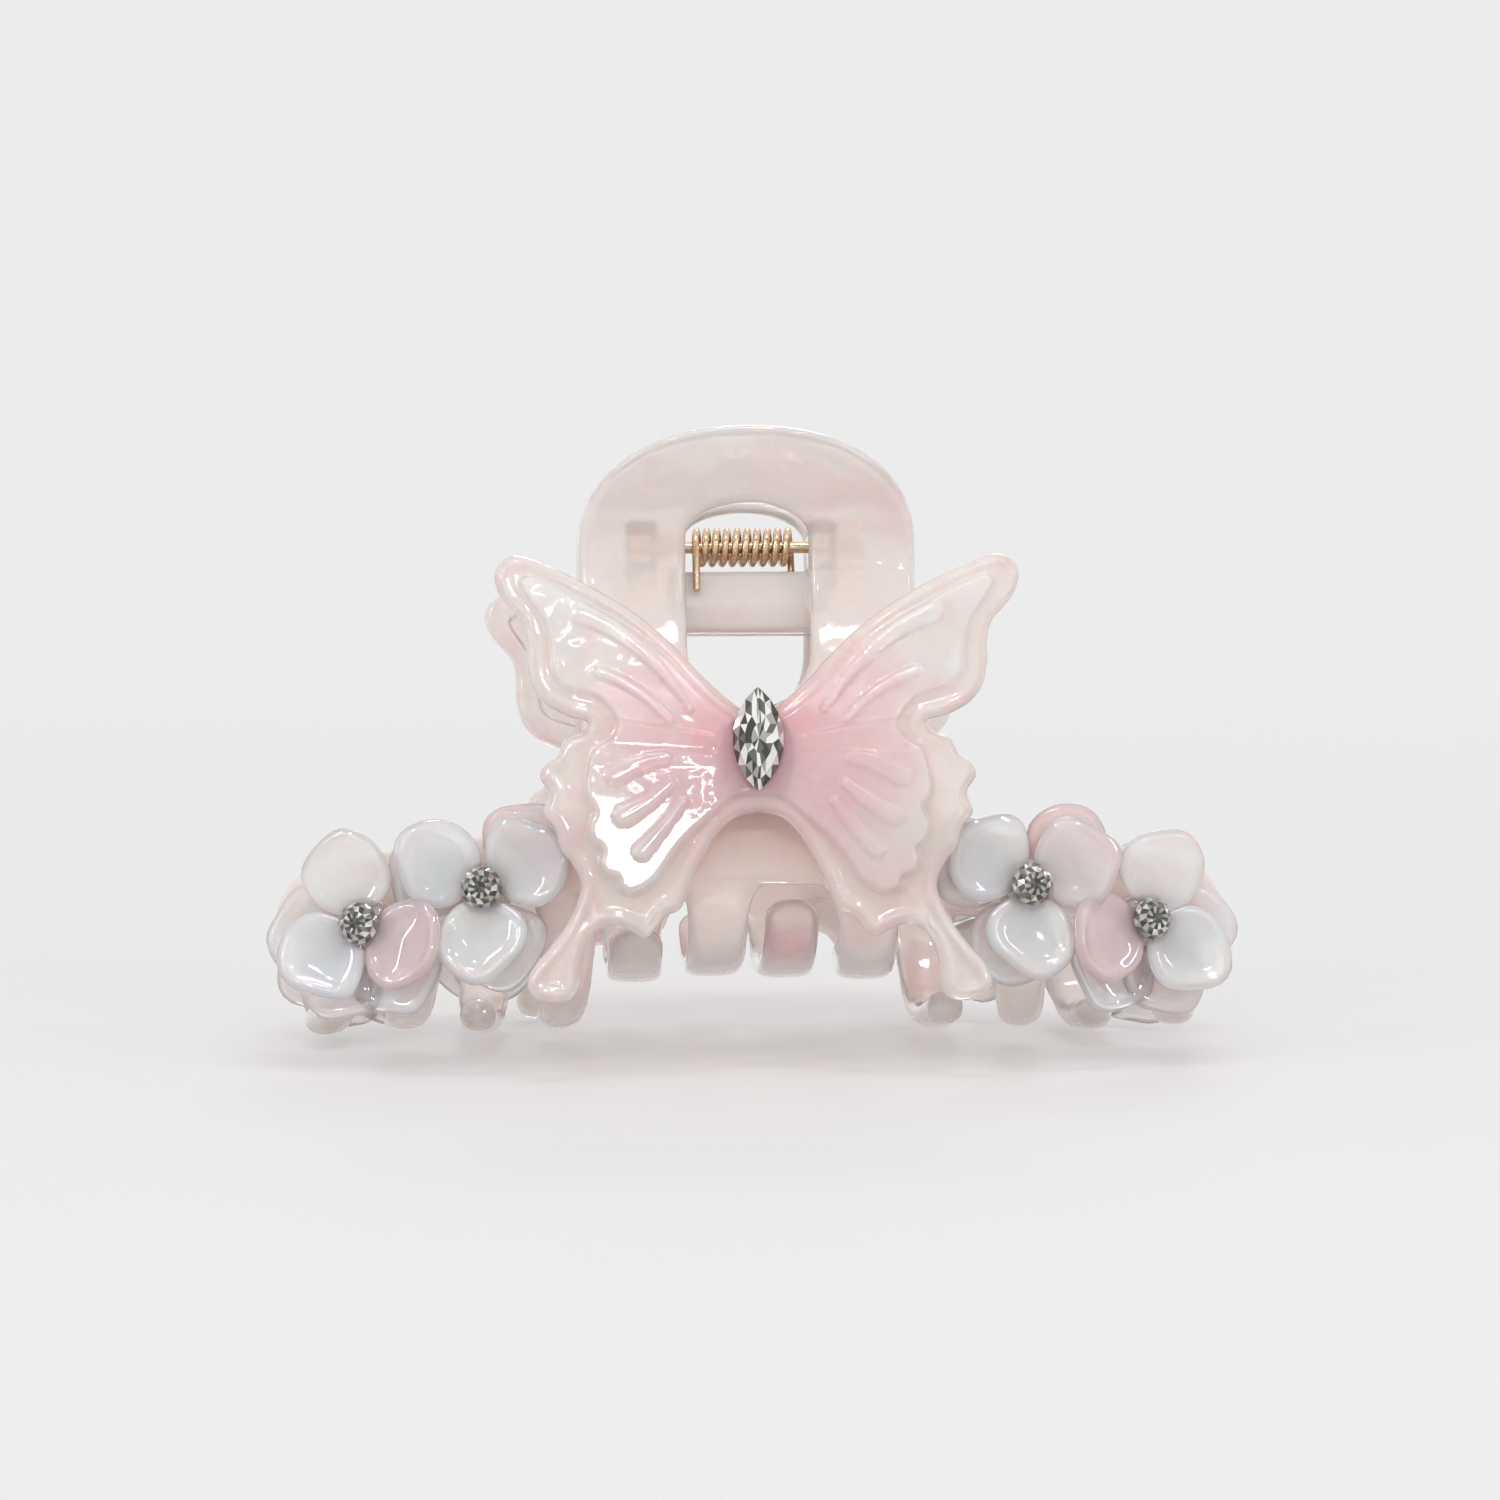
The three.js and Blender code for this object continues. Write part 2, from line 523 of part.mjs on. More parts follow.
// A coil round the pin. One leg lies down the front crossbar, the other leans up on the rear tab.
function torsionSpring() {
  const lean = radians(LEG_TILT);
  const startAngle = Math.PI - lean; // in the y-z plane: just above the front of the coil
  const turn = 2 * Math.PI * COIL_TURNS;
  const centre = [];
  const outwards = [];
  const add = (x, y, z, dy, dz) => {
    centre.push(new THREE.Vector3(x, y, z));
    outwards.push(new THREE.Vector3(0, dy, dz));
  };
  const onCoil = (x, angle) => {
    const [dy, dz] = [Math.cos(angle), Math.sin(angle)];
    return [x, COIL_RADIUS * dy, COIL_RADIUS * dz, dy, dz];
  };
  const leg = (x, angle, length, sense) => {
    const [, y, z, dy, dz] = onCoil(x, angle);
    return [x, y + sense * dz * length, z - sense * dy * length, dy, dz];
  };
  add(...leg(COIL_START, startAngle, LEG_LENGTH, -1));
  const count = Math.round(COIL_TURNS * 10);
  for (let i = 0; i <= count; i += 1) {
    add(...onCoil(COIL_START + (COIL_PITCH * COIL_TURNS * i) / count, startAngle - (turn * i) / count));
  }
  add(...leg(COIL_START + COIL_PITCH * COIL_TURNS, startAngle - turn, 4.4, 1));
  const rings = centre.map((at, i) => {
    const before = centre[Math.max(0, i - 1)];
    const after = centre[Math.min(centre.length - 1, i + 1)];
    const along = after.clone().sub(before).normalize();
    const side = along.clone().cross(outwards[i]).normalize();
    return steps(0, 2 * Math.PI, 5).slice(0, -1).map((a) => at.clone()
      .addScaledVector(outwards[i], WIRE_RADIUS * Math.cos(a))
      .addScaledVector(side, WIRE_RADIUS * Math.sin(a)));
  });
  return loft(rings);
}

// ---- assembly ----
function node(name, geometry, material) {
  const mesh = new THREE.Mesh(geometry, material);
  mesh.name = name;
  return mesh;
}

function jawAssembly(side) {
  const group = new THREE.Group();
  const navette = cutStone(navetteOutline(), NAVETTE_HEIGHT);
  navette.translate(0, wingFace(0) - GLUE_GAP, STONE_HEIGHT);
  group.add(node(`${side}_jaw`, jaw(), JAW_PINK));
  group.add(node(`${side}_butterfly`, butterfly(), WING_PINK));
  group.add(node(`${side}_butterfly_stone`, navette, CRYSTAL));
  for (const each of FLOWERS) {
    group.add(flower(side, each));
  }
  return group;
}

const clip = new THREE.Group();
const front = jawAssembly('front');
const rear = jawAssembly('rear');
rear.rotation.z = Math.PI;
clip.add(front, rear);
clip.add(node('hinge_pin', hingePin(), ROSE_GOLD));
clip.add(node('torsion_spring', torsionSpring(), ROSE_GOLD));

// The clip leans back; its frame's origin is under the middle of its box, on the surface it stands on.
clip.rotation.x = -radians(LEAN);
clip.updateMatrixWorld(true);
const box = new THREE.Box3().setFromObject(clip, true);
clip.position.set(-(box.min.x + box.max.x) / 2, -(box.min.y + box.max.y) / 2, -box.min.z);

const part = new THREE.Group();
part.add(clip);
export default part;
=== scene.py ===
"""Rhinestone hair clip: two acetate jaws on a sprung hinge, each with a butterfly and four flowers.

Every moulded piece is drawn in its jaw's own frame, in millimetres: the hinge pin is the X axis, -Y is the
outside of the jaw and Z is up. The rear jaw is the front one turned half a turn, and the clip leans back.
"""

import math

import bpy
import numpy as np
from bpy.props import FloatProperty, FloatVectorProperty, IntProperty, PointerProperty
from mathutils import Matrix, Vector
from mathutils.geometry import delaunay_2d_cdt


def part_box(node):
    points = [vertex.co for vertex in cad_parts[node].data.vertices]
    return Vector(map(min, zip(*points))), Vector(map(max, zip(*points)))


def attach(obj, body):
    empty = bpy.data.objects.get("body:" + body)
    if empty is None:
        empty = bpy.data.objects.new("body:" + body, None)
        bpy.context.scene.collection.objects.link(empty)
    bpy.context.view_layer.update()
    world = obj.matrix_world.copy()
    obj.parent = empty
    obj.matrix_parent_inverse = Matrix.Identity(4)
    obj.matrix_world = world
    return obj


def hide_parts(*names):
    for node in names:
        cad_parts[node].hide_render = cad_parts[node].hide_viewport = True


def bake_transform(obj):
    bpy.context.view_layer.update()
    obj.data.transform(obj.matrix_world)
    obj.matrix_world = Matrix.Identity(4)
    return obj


bl_info = {
    "name": "Rhinestone hair clip",
    "version": (1, 0, 0),
    "blender": (4, 5, 0),
    "location": "View3D > Sidebar > Hair Clip",
    "description": "Builds a claw hair clip with a butterfly, flowers and set stones round its CAD frame",
    "category": "Object",
}

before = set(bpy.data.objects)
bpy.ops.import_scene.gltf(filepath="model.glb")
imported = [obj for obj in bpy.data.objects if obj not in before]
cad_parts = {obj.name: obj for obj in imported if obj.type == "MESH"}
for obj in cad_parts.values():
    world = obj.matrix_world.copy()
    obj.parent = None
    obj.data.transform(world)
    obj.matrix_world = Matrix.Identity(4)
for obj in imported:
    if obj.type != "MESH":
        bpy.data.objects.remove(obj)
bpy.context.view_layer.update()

# ---- frame of the clip ----
MM = 0.001
LEAN = math.radians(10)
PIN_LOW, PIN_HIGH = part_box("hinge_pin")
HINGE = (PIN_LOW + PIN_HIGH) / 2
SIDES = ("front", "rear")

# ---- sizes of the jaw, in millimetres from the hinge ----
PLATE_THICKNESS = 2.8
TAB_HALF_WIDTH = 19.9
TAB_RISE = 13.4
TAB_SQUARENESS = 2.2
TAB_FLAT_FROM = 4.0
TAB_FLARE = math.radians(33)
HINGE_TO_PLATE = 6.4
NECK_BOTTOM = -24.0
BAND_HALF_LENGTH = 56.0
BAND_TOP = -33.2
BAND_BOTTOM = -41.0
BAND_TOP_DROOP = 5.5
BAND_BOTTOM_DROOP = 9.0
BAND_REACH = 20.5
BOW_DEPTH = 20.0
BOW_HALF_LENGTH = 62.0
WINDOW_HALF_WIDTH = 7.2
WINDOW_TOP = 4.6
WINDOW_ARCH = 3.6
WINDOW_BOTTOM = -20.0
LUG_RADIUS = 3.0
LUG_WIDTH = 3.1
LUG_SINK = 0.8  # how far a lug reaches into the plate
LUG_SHOULDER = 3.0
LUG_FOOT = -7.4
# y and z round the bar: a top facet that leans out to a ridge, and a lower facet that falls back from it
CROSSBAR_SECTION = ((-2.5, -3.0), (-4.2, -7.2), (-4.0, -10.4), (-1.4, -10.1), (-1.2, -3.3))
CROSSBAR_SINK = 1.8
INNER_LUG = 7.4
OUTER_LUG = 10.85
TOOTH_WIDTH = 7.2
TOOTH_THICKNESS = 2.6
TOOTH_PITCH = 17.3
FIRST_TOOTH = -38.9
TOOTH_SLANT = 0.06
# inward reach of the tip, height of the lowest point and height of the tip, from the middle teeth outwards
TOOTH_PATHS = ((33, -49.6, -42.5), (32, -50.0, -46.0), (26, -55.2, -54.6),
               (20, -55.4, -55.0), (15, -55.4, -55.2), (10, -55.4, -55.4))
# narrowing and swelling towards the tip, length of the round tip, and squareness of the section
MIDDLE_TOOTH = (0.12, 0.1, 2.6, 3.0)
OUTER_TOOTH = (0.42, 0.6, 2.3, 2.2)
ROOT_FLARE = 0.45

# ---- sizes of the butterfly, the flowers and the stones ----
GLUE_GAP = 0.3
BUTTERFLY_HEIGHT = -24.6
BUTTERFLY_REACH = 26.0
BUTTERFLY_THICKNESS = 2.2
WING_SWEEP = 2.5
WING_HALF_SPAN = 29.0
NAVETTE_LENGTH = 12.0
NAVETTE_WIDTH = 6.0
NAVETTE_HEIGHT = 2.8
ROUND_STONE_DIAMETER = 4.9
ROUND_STONE_HEIGHT = 2.2
CORE_RADIUS = 3.1
CORE_THICKNESS = 1.7
COIL_RADIUS = 1.9
COIL_PITCH = 1.2
COIL_TURNS = 9.5
COIL_START = -5.9
FRONT_LEG = 6.6
REAR_LEG = 4.4
PIN_RADIUS = 0.7
PIN_LENGTH = 28.4
PIN_ROUNDING = 0.45
# name, x and z of the flower's centre, then turn in degrees and tone of each upper petal, and of each
# lower petal; a tone of 0 is cool and pale, 1 is pink
FLOWERS = (
    ("left_outer", -44.6, -45.2,
     ((104, 0.35), (219, 0.05), (334, 1.00)), ((187, 0.60), (245, 0.65), (303, 0.15))),
    ("left_inner", -31.0, -41.3,
     ((151, 0.05), (31, 0.45), (269, 0.25)), ((47, 0.85), (165, 0.55), (285, 0.20))),
    ("right_inner", 31.0, -41.3,
     ((147, 0.20), (24, 0.75), (269, 0.25)), ((40, 0.95), (160, 0.50), (255, 0.55))),
    ("right_outer", 44.6, -45.2,
     ((74, 0.45), (323, 0.40), (202, 1.00)), ((355, 0.60), (295, 0.70), (237, 0.45))),
)
# half outline of the butterfly about its stone: notch between the upper wings, tip, tail, foot of the body
HALF_WING = (
    (0.0, 2.6), (2.2, 3.9), (5.7, 6.9), (10.1, 11.5), (14.5, 15.1), (18.9, 17.7), (23.3, 19.9), (26.6, 21.2),
    (28.4, 21.3), (29.9, 20.2), (30.3, 18.6), (29.4, 16.2), (27.2, 13.6), (26.6, 11.3), (26.6, 8.8),
    (25.9, 5.9), (24.4, 4.1), (22.0, 2.8), (19.6, 2.0), (20.2, 1.0), (22.2, 0.1), (23.3, -1.9),
    (24.7, -2.9), (25.2, -4.2), (24.1, -6.2), (24.8, -8.4), (23.5, -10.3), (22.9, -12.6), (21.6, -14.2),
    (20.6, -16.8), (21.3, -19.3), (22.6, -21.7), (24.4, -24.1), (26.0, -26.0),
    (26.8, -28.0), (26.0, -29.6), (24.0, -30.2), (22.0, -30.0), (21.0, -28.6), (20.8, -26.5), (20.3, -24.4),
    (19.4, -22.6), (18.2, -21.7), (16.7, -21.4), (14.9, -22.0), (13.2, -22.8), (12.0, -21.8), (10.8, -20.3),
    (9.2, -19.6), (8.3, -17.9), (7.2, -15.2), (5.8, -12.5), (4.4, -10.4), (2.6, -8.9), (0.0, -8.3),
)
# edge of the raised field inside each wing, which keeps clear of the rim and follows the scallops
WING_FIELD = (
    (-3.0, 1.4), (2.6, 2.6), (6.6, 5.6), (11.0, 10.0), (15.2, 13.3), (19.5, 15.8), (23.6, 17.9), (26.4, 18.9),
    (27.3, 18.1), (26.2, 16.0), (24.6, 13.6), (23.8, 10.6), (23.6, 7.8), (22.4, 6.3), (20.4, 5.6),
    (18.4, 4.8), (16.8, 3.2), (16.2, 1.6), (17.0, 0.2), (18.8, -1.0), (19.7, -3.4), (19.9, -6.4),
    (19.0, -8.2), (19.6, -9.8),
    (19.3, -11.6), (18.2, -12.6), (18.4, -14.4), (17.6, -15.6), (16.6, -15.9), (16.0, -17.3), (14.6, -17.8),
    (12.8, -17.0), (11.6, -16.0), (10.2, -13.8), (8.2, -11.4), (5.6, -9.0), (2.6, -6.6), (-3.0, -6.0),
)
# raised veins: ends and middle in x and z, and the half width at each end
VEINS = (
    ((20.2, 14.4), (13.4, 10.3), (7.8, 3.5), 1.0, 0.4),
    ((18.2, 7.8), (14.0, 5.7), (10.2, 2.4), 0.55, 0.5),
    ((16.6, -4.2), (13.8, -2.9), (10.8, -2.1), 1.0, 0.7),
    ((15.6, -8.8), (13.0, -7.3), (10.2, -5.0), 1.0, 0.6),
    ((13.6, -13.0), (11.3, -10.4), (8.8, -7.2), 0.8, 0.45),
)
# the valley between the wings and the hollow of the tail, in the same form as a vein
VALLEY = ((17.0, 0.6), (11.5, 0.1), (6.0, -0.4), 1.6, 1.0)
VALLEY_DEPTH = 0.3
TAIL_HOLLOW = ((20.2, -19.0), (22.0, -24.0), (23.8, -28.0), 0.9, 2.6)
TAIL_RISE = 0.3
TAIL_HOLLOW_DEPTH = 0.55
FIELD_SLOPE = 0.045  # the field of a lower wing stands up a little more towards its foot
SEAT_RISE = 0.35  # the smooth seat under the stone


# ---- settings that a user would change ----
def millimetres(name, description, default, low, high):
    """A size setting in millimetres."""
    return FloatProperty(
        name=name, description=description + ", in millimetres", default=default, min=low, max=high)


def colour_property(name, description, default):
    """A colour setting with its default, as linear red, green and blue."""
    return FloatVectorProperty(
        name=name, description=description, default=default, size=3, min=0.0, max=1.0, subtype="COLOR")


class HairClipSizes(bpy.types.PropertyGroup):
    """Sizes of the moulded and bent pieces"""
    jaw_voxel: millimetres("Jaw mesh size", "Size of a face of the jaw's mesh", 0.34, 0.2, 1.0)
    jaw_rounding: IntProperty(
        name="Jaw rounding", description="Smoothing passes that round the jaw's inner corners",
        default=8, min=0, max=40)
    plate_edge: millimetres("Jaw edge radius", "Radius of the jaw's rounded edges", 1.1, 0.2, 1.4)
    wing_mesh: millimetres("Wing mesh size", "Spacing of the butterfly's mesh", 0.27, 0.2, 1.0)
    wing_edge: millimetres("Wing edge radius", "Radius of the butterfly's rounded edges", 1.0, 0.2, 1.1)
    field_rise: millimetres("Field rise", "Height of a wing's raised field above its rim", 0.75, 0.0, 1.2)
    rim_rise: millimetres("Rim rise", "Height of the bead along the wing's edge", 0.3, 0.0, 1.0)
    vein_rise: millimetres("Vein rise", "Height of a vein above the wing's field", 0.55, 0.0, 1.0)
    petal_width: millimetres("Petal width", "Width of a petal", 10.8, 5.0, 12.0)
    petal_length: millimetres("Petal length", "Length of a petal", 8.9, 5.0, 12.0)
    petal_thickness: millimetres("Petal thickness", "Thickness of a petal", 1.15, 0.6, 2.0)
    wire: FloatProperty(
        name="Spring wire", description="Thickness of the spring's wire", default=0.00088,
        min=0.0003, max=0.002, subtype="DISTANCE", unit="LENGTH")


class HairClipColours(bpy.types.PropertyGroup):
    """Colours of the acetate and the wire"""
    tab: colour_property("Tab", "Acetate at the top of the jaws", (0.87, 0.805, 0.775))
    # the band colour also tints the lugs' painted shade seen through the tab
    band: colour_property("Band", "Acetate at the bottom of the jaws", (0.95, 0.77, 0.70))
    heart: colour_property("Heart", "Butterfly round its stone", (0.88, 0.45, 0.49))
    wing: colour_property("Wing", "Butterfly at half span", (0.87, 0.64, 0.66))
    wing_tip: colour_property("Wing tip", "Butterfly at its tips", (0.84, 0.80, 0.77))
    # the rim colour is partly the band's own peach and partly painted shade at the wings' edges
    rim: colour_property("Rim", "Low band along the edge of the wings", (0.87, 0.70, 0.63))
    petal: colour_property("Petal", "Outside of the upper petals", (0.94, 0.92, 0.915))
    blush: colour_property("Blush", "Lower petals and petal roots", (0.93, 0.82, 0.81))
    wire: colour_property("Wire", "Plating of the spring and the pin", (0.66, 0.47, 0.30))


# ---- placing ----
def jaw_matrix(side):
    """From a jaw's own frame in millimetres to the clip as it stands, in metres."""
    turn = Matrix.Rotation(math.pi if side == "rear" else 0.0, 4, "Z")
    return Matrix.Translation(HINGE) @ Matrix.Rotation(-LEAN, 4, "X") @ turn @ Matrix.Scale(MM, 4)


def add_object(name, mesh):
    piece = bpy.data.objects.new(name, mesh)
    bpy.context.scene.collection.objects.link(piece)
    return piece


def mesh_of(name, points, faces):
    """A smooth-shaded mesh that remembers each point's place in its own mould, in millimetres."""
    mesh = bpy.data.meshes.new(name)
    mesh.from_pydata(np.asarray(points, float).tolist(), [], [list(map(int, face)) for face in faces])
    mesh.update()
    remember_mould(mesh)
    mesh.polygons.foreach_set("use_smooth", [True] * len(mesh.polygons))
    return mesh


def vertex_places(mesh):
    places = np.empty(len(mesh.vertices) * 3)
    mesh.vertices.foreach_get("co", places)
    return places.reshape(-1, 3)


def remember_mould(mesh):
    attribute = mesh.attributes.new("mould", "FLOAT_VECTOR", "POINT")
    attribute.data.foreach_set("vector", vertex_places(mesh).astype(np.float32).ravel())


def set_tone(mesh, tones):
    attribute = mesh.attributes.new("tone", "FLOAT", "POINT")
    attribute.data.foreach_set("value", np.asarray(tones, np.float32))


def finish_piece(mesh, name, body, material, nodes, matrix):
    """Puts a piece in its place, gives it its material and hands it to the frame."""
    mesh.transform(matrix)
    mesh.materials.clear()
    mesh.materials.append(material)
    piece = add_object(name, mesh)
    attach(piece, body)
    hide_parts(*nodes)


def evaluated_mesh(piece):
    """The piece's mesh with its modifiers applied; the piece itself is removed."""
    graph = bpy.context.evaluated_depsgraph_get()
    mesh = bpy.data.meshes.new_from_object(piece.evaluated_get(graph), depsgraph=graph)
    bpy.data.objects.remove(piece)
    return mesh


# ---- curves and outlines ----
def smooth_curve(points, per_span, closed=False):
    """A centripetal spline through the points."""
    points = np.asarray(points, float)
    if closed:
        guide = np.vstack([points[-1:], points, points[:2]])
        spans = len(points)
    else:
        guide = np.vstack([2 * points[0] - points[1], points, 2 * points[-1] - points[-2]])
        spans = len(points) - 1
    t = np.linspace(0, 1, per_span, endpoint=False)[:, None]
    pieces = []
    for i in range(spans):
        p0, p1, p2, p3 = guide[i:i + 4]
        d0, d1, d2 = (max(np.linalg.norm(b - a), 1e-6) ** 0.5 for a, b in ((p0, p1), (p1, p2), (p2, p3)))
        t1 = ((p1 - p0) / d0 - (p2 - p0) / (d0 + d1) + (p2 - p1) / d1) * d1
        t2 = ((p2 - p1) / d1 - (p3 - p1) / (d1 + d2) + (p3 - p2) / d2) * d1
        pieces.append(p1 * (2 * t ** 3 - 3 * t ** 2 + 1) + t1 * (t ** 3 - 2 * t ** 2 + t)
                      + p2 * (3 * t ** 2 - 2 * t ** 3) + t2 * (t ** 3 - t ** 2))
    if not closed:
        pieces.append(points[-1:])
    return np.vstack(pieces)


def even_loop(points, spacing):
    """The same closed loop with points at an even spacing."""
    ring = np.vstack([points, points[:1]])
    length = np.concatenate([[0], np.cumsum(np.linalg.norm(np.diff(ring, axis=0), axis=1))])
    count = max(8, round(length[-1] / spacing))
    at = np.linspace(0, length[-1], count, endpoint=False)
    return np.column_stack([np.interp(at, length, ring[:, k]) for k in range(2)])


def bezier(points, count):
    t = np.linspace(0, 1, count)[:, None]
    points = [np.asarray(p, float) for p in points]
    while len(points) > 1:
        points = [a * (1 - t) + b * t for a, b in zip(points, points[1:])]
    return points[0]


def distance_to_loops(points, loops):
    """Distance from each point to the nearest edge of the loops."""
    nearest = np.full(len(points), np.inf)
    for loop in loops:
        for a, b in zip(loop, np.roll(loop, -1, axis=0)):
            edge = b - a
            share = np.clip((points - a) @ edge / max(edge @ edge, 1e-12), 0, 1)
            gap = points - a - share[:, None] * edge
            np.minimum(nearest, np.einsum("ij,ij->i", gap, gap), out=nearest)
    return np.sqrt(nearest)


def inside_loops(points, loops):
    """Which points lie inside an odd number of the loops."""
    odd = np.zeros(len(points), bool)
    x, z = points.T
    for loop in loops:
        for (ax, az), (bx, bz) in zip(loop, np.roll(loop, -1, axis=0)):
            crosses = (az > z) != (bz > z)
            if az != bz:
                odd ^= crosses & (x < (bx - ax) * (z - az) / (bz - az) + ax)
    return odd


def smooth_step(value, low, high):
    t = np.clip((value - low) / (high - low), 0, 1)
    return t * t * (3 - 2 * t)


def plate_layout(loops, spacing, radius):
    """Flat triangles over the loops: the rim, rings that follow it inwards, and a grid in the middle."""
    inset_angles = np.radians((22, 42, 60, 76, 90))
    rim = np.vstack(loops)
    rings = []
    for loop in loops:
        along = np.roll(loop, -1, axis=0) - np.roll(loop, 1, axis=0)
        inward = np.column_stack([-along[:, 1], along[:, 0]]) / np.linalg.norm(along, axis=1)[:, None]
        for angle in inset_angles:
            inset = radius * (1 - math.cos(angle))
            for sense in (1, -1):
                ring = loop + sense * inset * inward
                near = np.abs(distance_to_loops(ring, loops) - inset) < 0.04 * radius
                rings.append(ring[near & inside_loops(ring, loops)])
    low, high = rim.min(0), rim.max(0)
    rows = []
    for i, z in enumerate(np.arange(low[1], high[1], spacing * math.sqrt(3) / 2)):
        x = np.arange(low[0] + spacing / 2 * (i % 2), high[0], spacing)
        rows.append(np.column_stack([x, np.full(len(x), z)]))
    grid = np.vstack(rows)
    grid = grid[inside_loops(grid, loops)]
    grid = grid[distance_to_loops(grid, loops) > radius + 0.6 * spacing]
    edges = []
    start = 0
    for loop in loops:
        edges += [(start + i, start + (i + 1) % len(loop)) for i in range(len(loop))]
        start += len(loop)
    made = delaunay_2d_cdt([Vector(p) for p in np.vstack([rim, *rings, grid])], edges, [], 0, 1e-5)
    flat = np.array([tuple(p) for p in made[0]])
    faces = np.array([face for face in made[2] if len(face) == 3])
    faces = faces[inside_loops(flat[faces].mean(axis=1), loops)]
    a, b, c = flat[faces[:, 0]], flat[faces[:, 1]], flat[faces[:, 2]]
    turned = (b[:, 0] - a[:, 0]) * (c[:, 1] - a[:, 1]) - (b[:, 1] - a[:, 1]) * (c[:, 0] - a[:, 0]) < 0
    faces[turned] = faces[turned][:, ::-1]
    return flat, faces


def rounded_plate(loops, spacing, radius, surfaces):
    """A closed plate over the loops, with round edges.

    surfaces(x, z, depth) gives the plate's front and back in y, where depth is the distance to the edge;
    the edge narrows to the middle between them."""
    flat, faces = plate_layout(loops, spacing, radius)
    depth = distance_to_loops(flat, loops)
    on_rim = depth < 1e-4
    fullness = np.sqrt(1 - (1 - np.clip(depth / radius, 0, 1)) ** 2)
    fullness[on_rim] = 0
    front, back = surfaces(flat[:, 0], flat[:, 1], depth)
    middle = (front + back) / 2
    front_points, back_points = (
        np.column_stack([flat[:, 0], middle + (face - middle) * fullness, flat[:, 1]])
        for face in (front, back))
    used = np.unique(faces)
    number = np.full(len(flat), -1)
    number[used] = np.arange(len(used))
    back_number = number.copy()
    inner = used[~on_rim[used]]
    back_number[inner] = len(used) + np.arange(len(inner))
    points = np.vstack([front_points[used], back_points[inner]])
    return points, np.vstack([number[faces], back_number[faces][:, ::-1]])


def tube(rings):
    """A closed body over rings of equal length, capped with a fan at each end."""
    count = len(rings[0])
    points = np.vstack([*rings, np.mean(rings[0], axis=0), np.mean(rings[-1], axis=0)])
    faces = []
    for i in range(len(rings) - 1):
        for j in range(count):
            a, b = i * count + j, i * count + (j + 1) % count
            faces.append((a, b, b + count, a + count))
    last = (len(rings) - 1) * count
    for j in range(count):
        faces.append((len(points) - 2, (j + 1) % count, j))
        faces.append((len(points) - 1, last + j, last + (j + 1) % count))
    return outward(points, faces)


def outward(points, faces):
    """The same body with its faces turned outwards."""
    volume = 0.0
    for face in faces:
        for i in range(1, len(face) - 1):
            volume += np.dot(points[face[0]], np.cross(points[face[i]], points[face[i + 1]]))
    return points, faces if volume > 0 else [tuple(reversed(face)) for face in faces]


def joined(parts):
    """Several bodies as one list of points and one of faces."""
    faces, start = [], 0
    for points, part_faces in parts:
        faces += [tuple(int(i) + start for i in face) for face in part_faces]
        start += len(points)
    return np.vstack([points for points, _ in parts]), faces


# ---- surface and outline of the jaw ----
BELLY = smooth_curve((
    (-(HINGE_TO_PLATE + 1.2), TAB_FLAT_FROM), (-HINGE_TO_PLATE, 0), (-(HINGE_TO_PLATE + 0.3), -5),
    (-(HINGE_TO_PLATE + 2.2), -10), (-(HINGE_TO_PLATE + BAND_REACH) / 2, -18), (-(BAND_REACH - 3.2), -26),
    (-(BAND_REACH - 0.7), -33), (-BAND_REACH, -40), (-(BAND_REACH - 0.3), 1.4 * BAND_BOTTOM)), 24)


def bow(x):
    return BOW_DEPTH * (1 - np.sqrt(np.clip(1 - (x / BOW_HALF_LENGTH) ** 2, 0, 1)))


def jaw_face(x, z):
    """Outer face of the jaw: a flat tab that leans out, a belly, and a band bowed back at its ends."""
    x, z = np.asarray(x, float), np.asarray(z, float)
    belly = np.interp(-z, -BELLY[:, 1], BELLY[:, 0])
    tab = BELLY[0, 0] - (z - TAB_FLAT_FROM) * math.tan(TAB_FLARE)
    return np.where(z >= TAB_FLAT_FROM, tab, belly) + bow(x) * smooth_step(TAB_FLAT_FROM - z, 0, 16)


def jaw_surfaces(x, z, depth):
    step = 0.5
    slope_x = (jaw_face(x + step, z) - jaw_face(x - step, z)) / (2 * step)
    slope_z = (jaw_face(x, z + step) - jaw_face(x, z - step)) / (2 * step)
    front = jaw_face(x, z)
    return front, front + PLATE_THICKNESS * np.sqrt(1 + slope_x ** 2 + slope_z ** 2)


def band_top(x):
    return BAND_TOP - BAND_TOP_DROOP * (x / BAND_HALF_LENGTH) ** 2


def band_bottom(x):
    return BAND_BOTTOM - BAND_BOTTOM_DROOP * (x / BAND_HALF_LENGTH) ** 2


def jaw_outline():
    turn = np.linspace(0, math.pi, 60)
    dome = np.column_stack([
        TAB_HALF_WIDTH * np.sign(np.cos(turn)) * np.abs(np.cos(turn)) ** (2 / TAB_SQUARENESS),
        TAB_RISE * np.abs(np.sin(turn)) ** (2 / TAB_SQUARENESS)])
    shoulder, end = TAB_HALF_WIDTH + 6, BAND_HALF_LENGTH - 6
    neck = bezier(((TAB_HALF_WIDTH, NECK_BOTTOM), (TAB_HALF_WIDTH + 0.3, band_top(shoulder) + 0.6),
                   (shoulder, band_top(shoulder))), 12)
    top = np.array([(x, band_top(x)) for x in np.linspace(shoulder, end, 14)])
    tip = bezier(((end, band_top(end)), (BAND_HALF_LENGTH + 1.5, band_top(BAND_HALF_LENGTH)),
                  (BAND_HALF_LENGTH + 1.5, band_bottom(BAND_HALF_LENGTH)), (end, band_bottom(end))), 16)
    bottom = np.array([(x, band_bottom(x)) for x in np.linspace(end, 0, 24)])
    half = np.vstack([neck, top[1:-1], tip, bottom[1:]])
    mirrored = half * (-1, 1)
    return np.vstack([dome, mirrored, half[::-1][1:]])


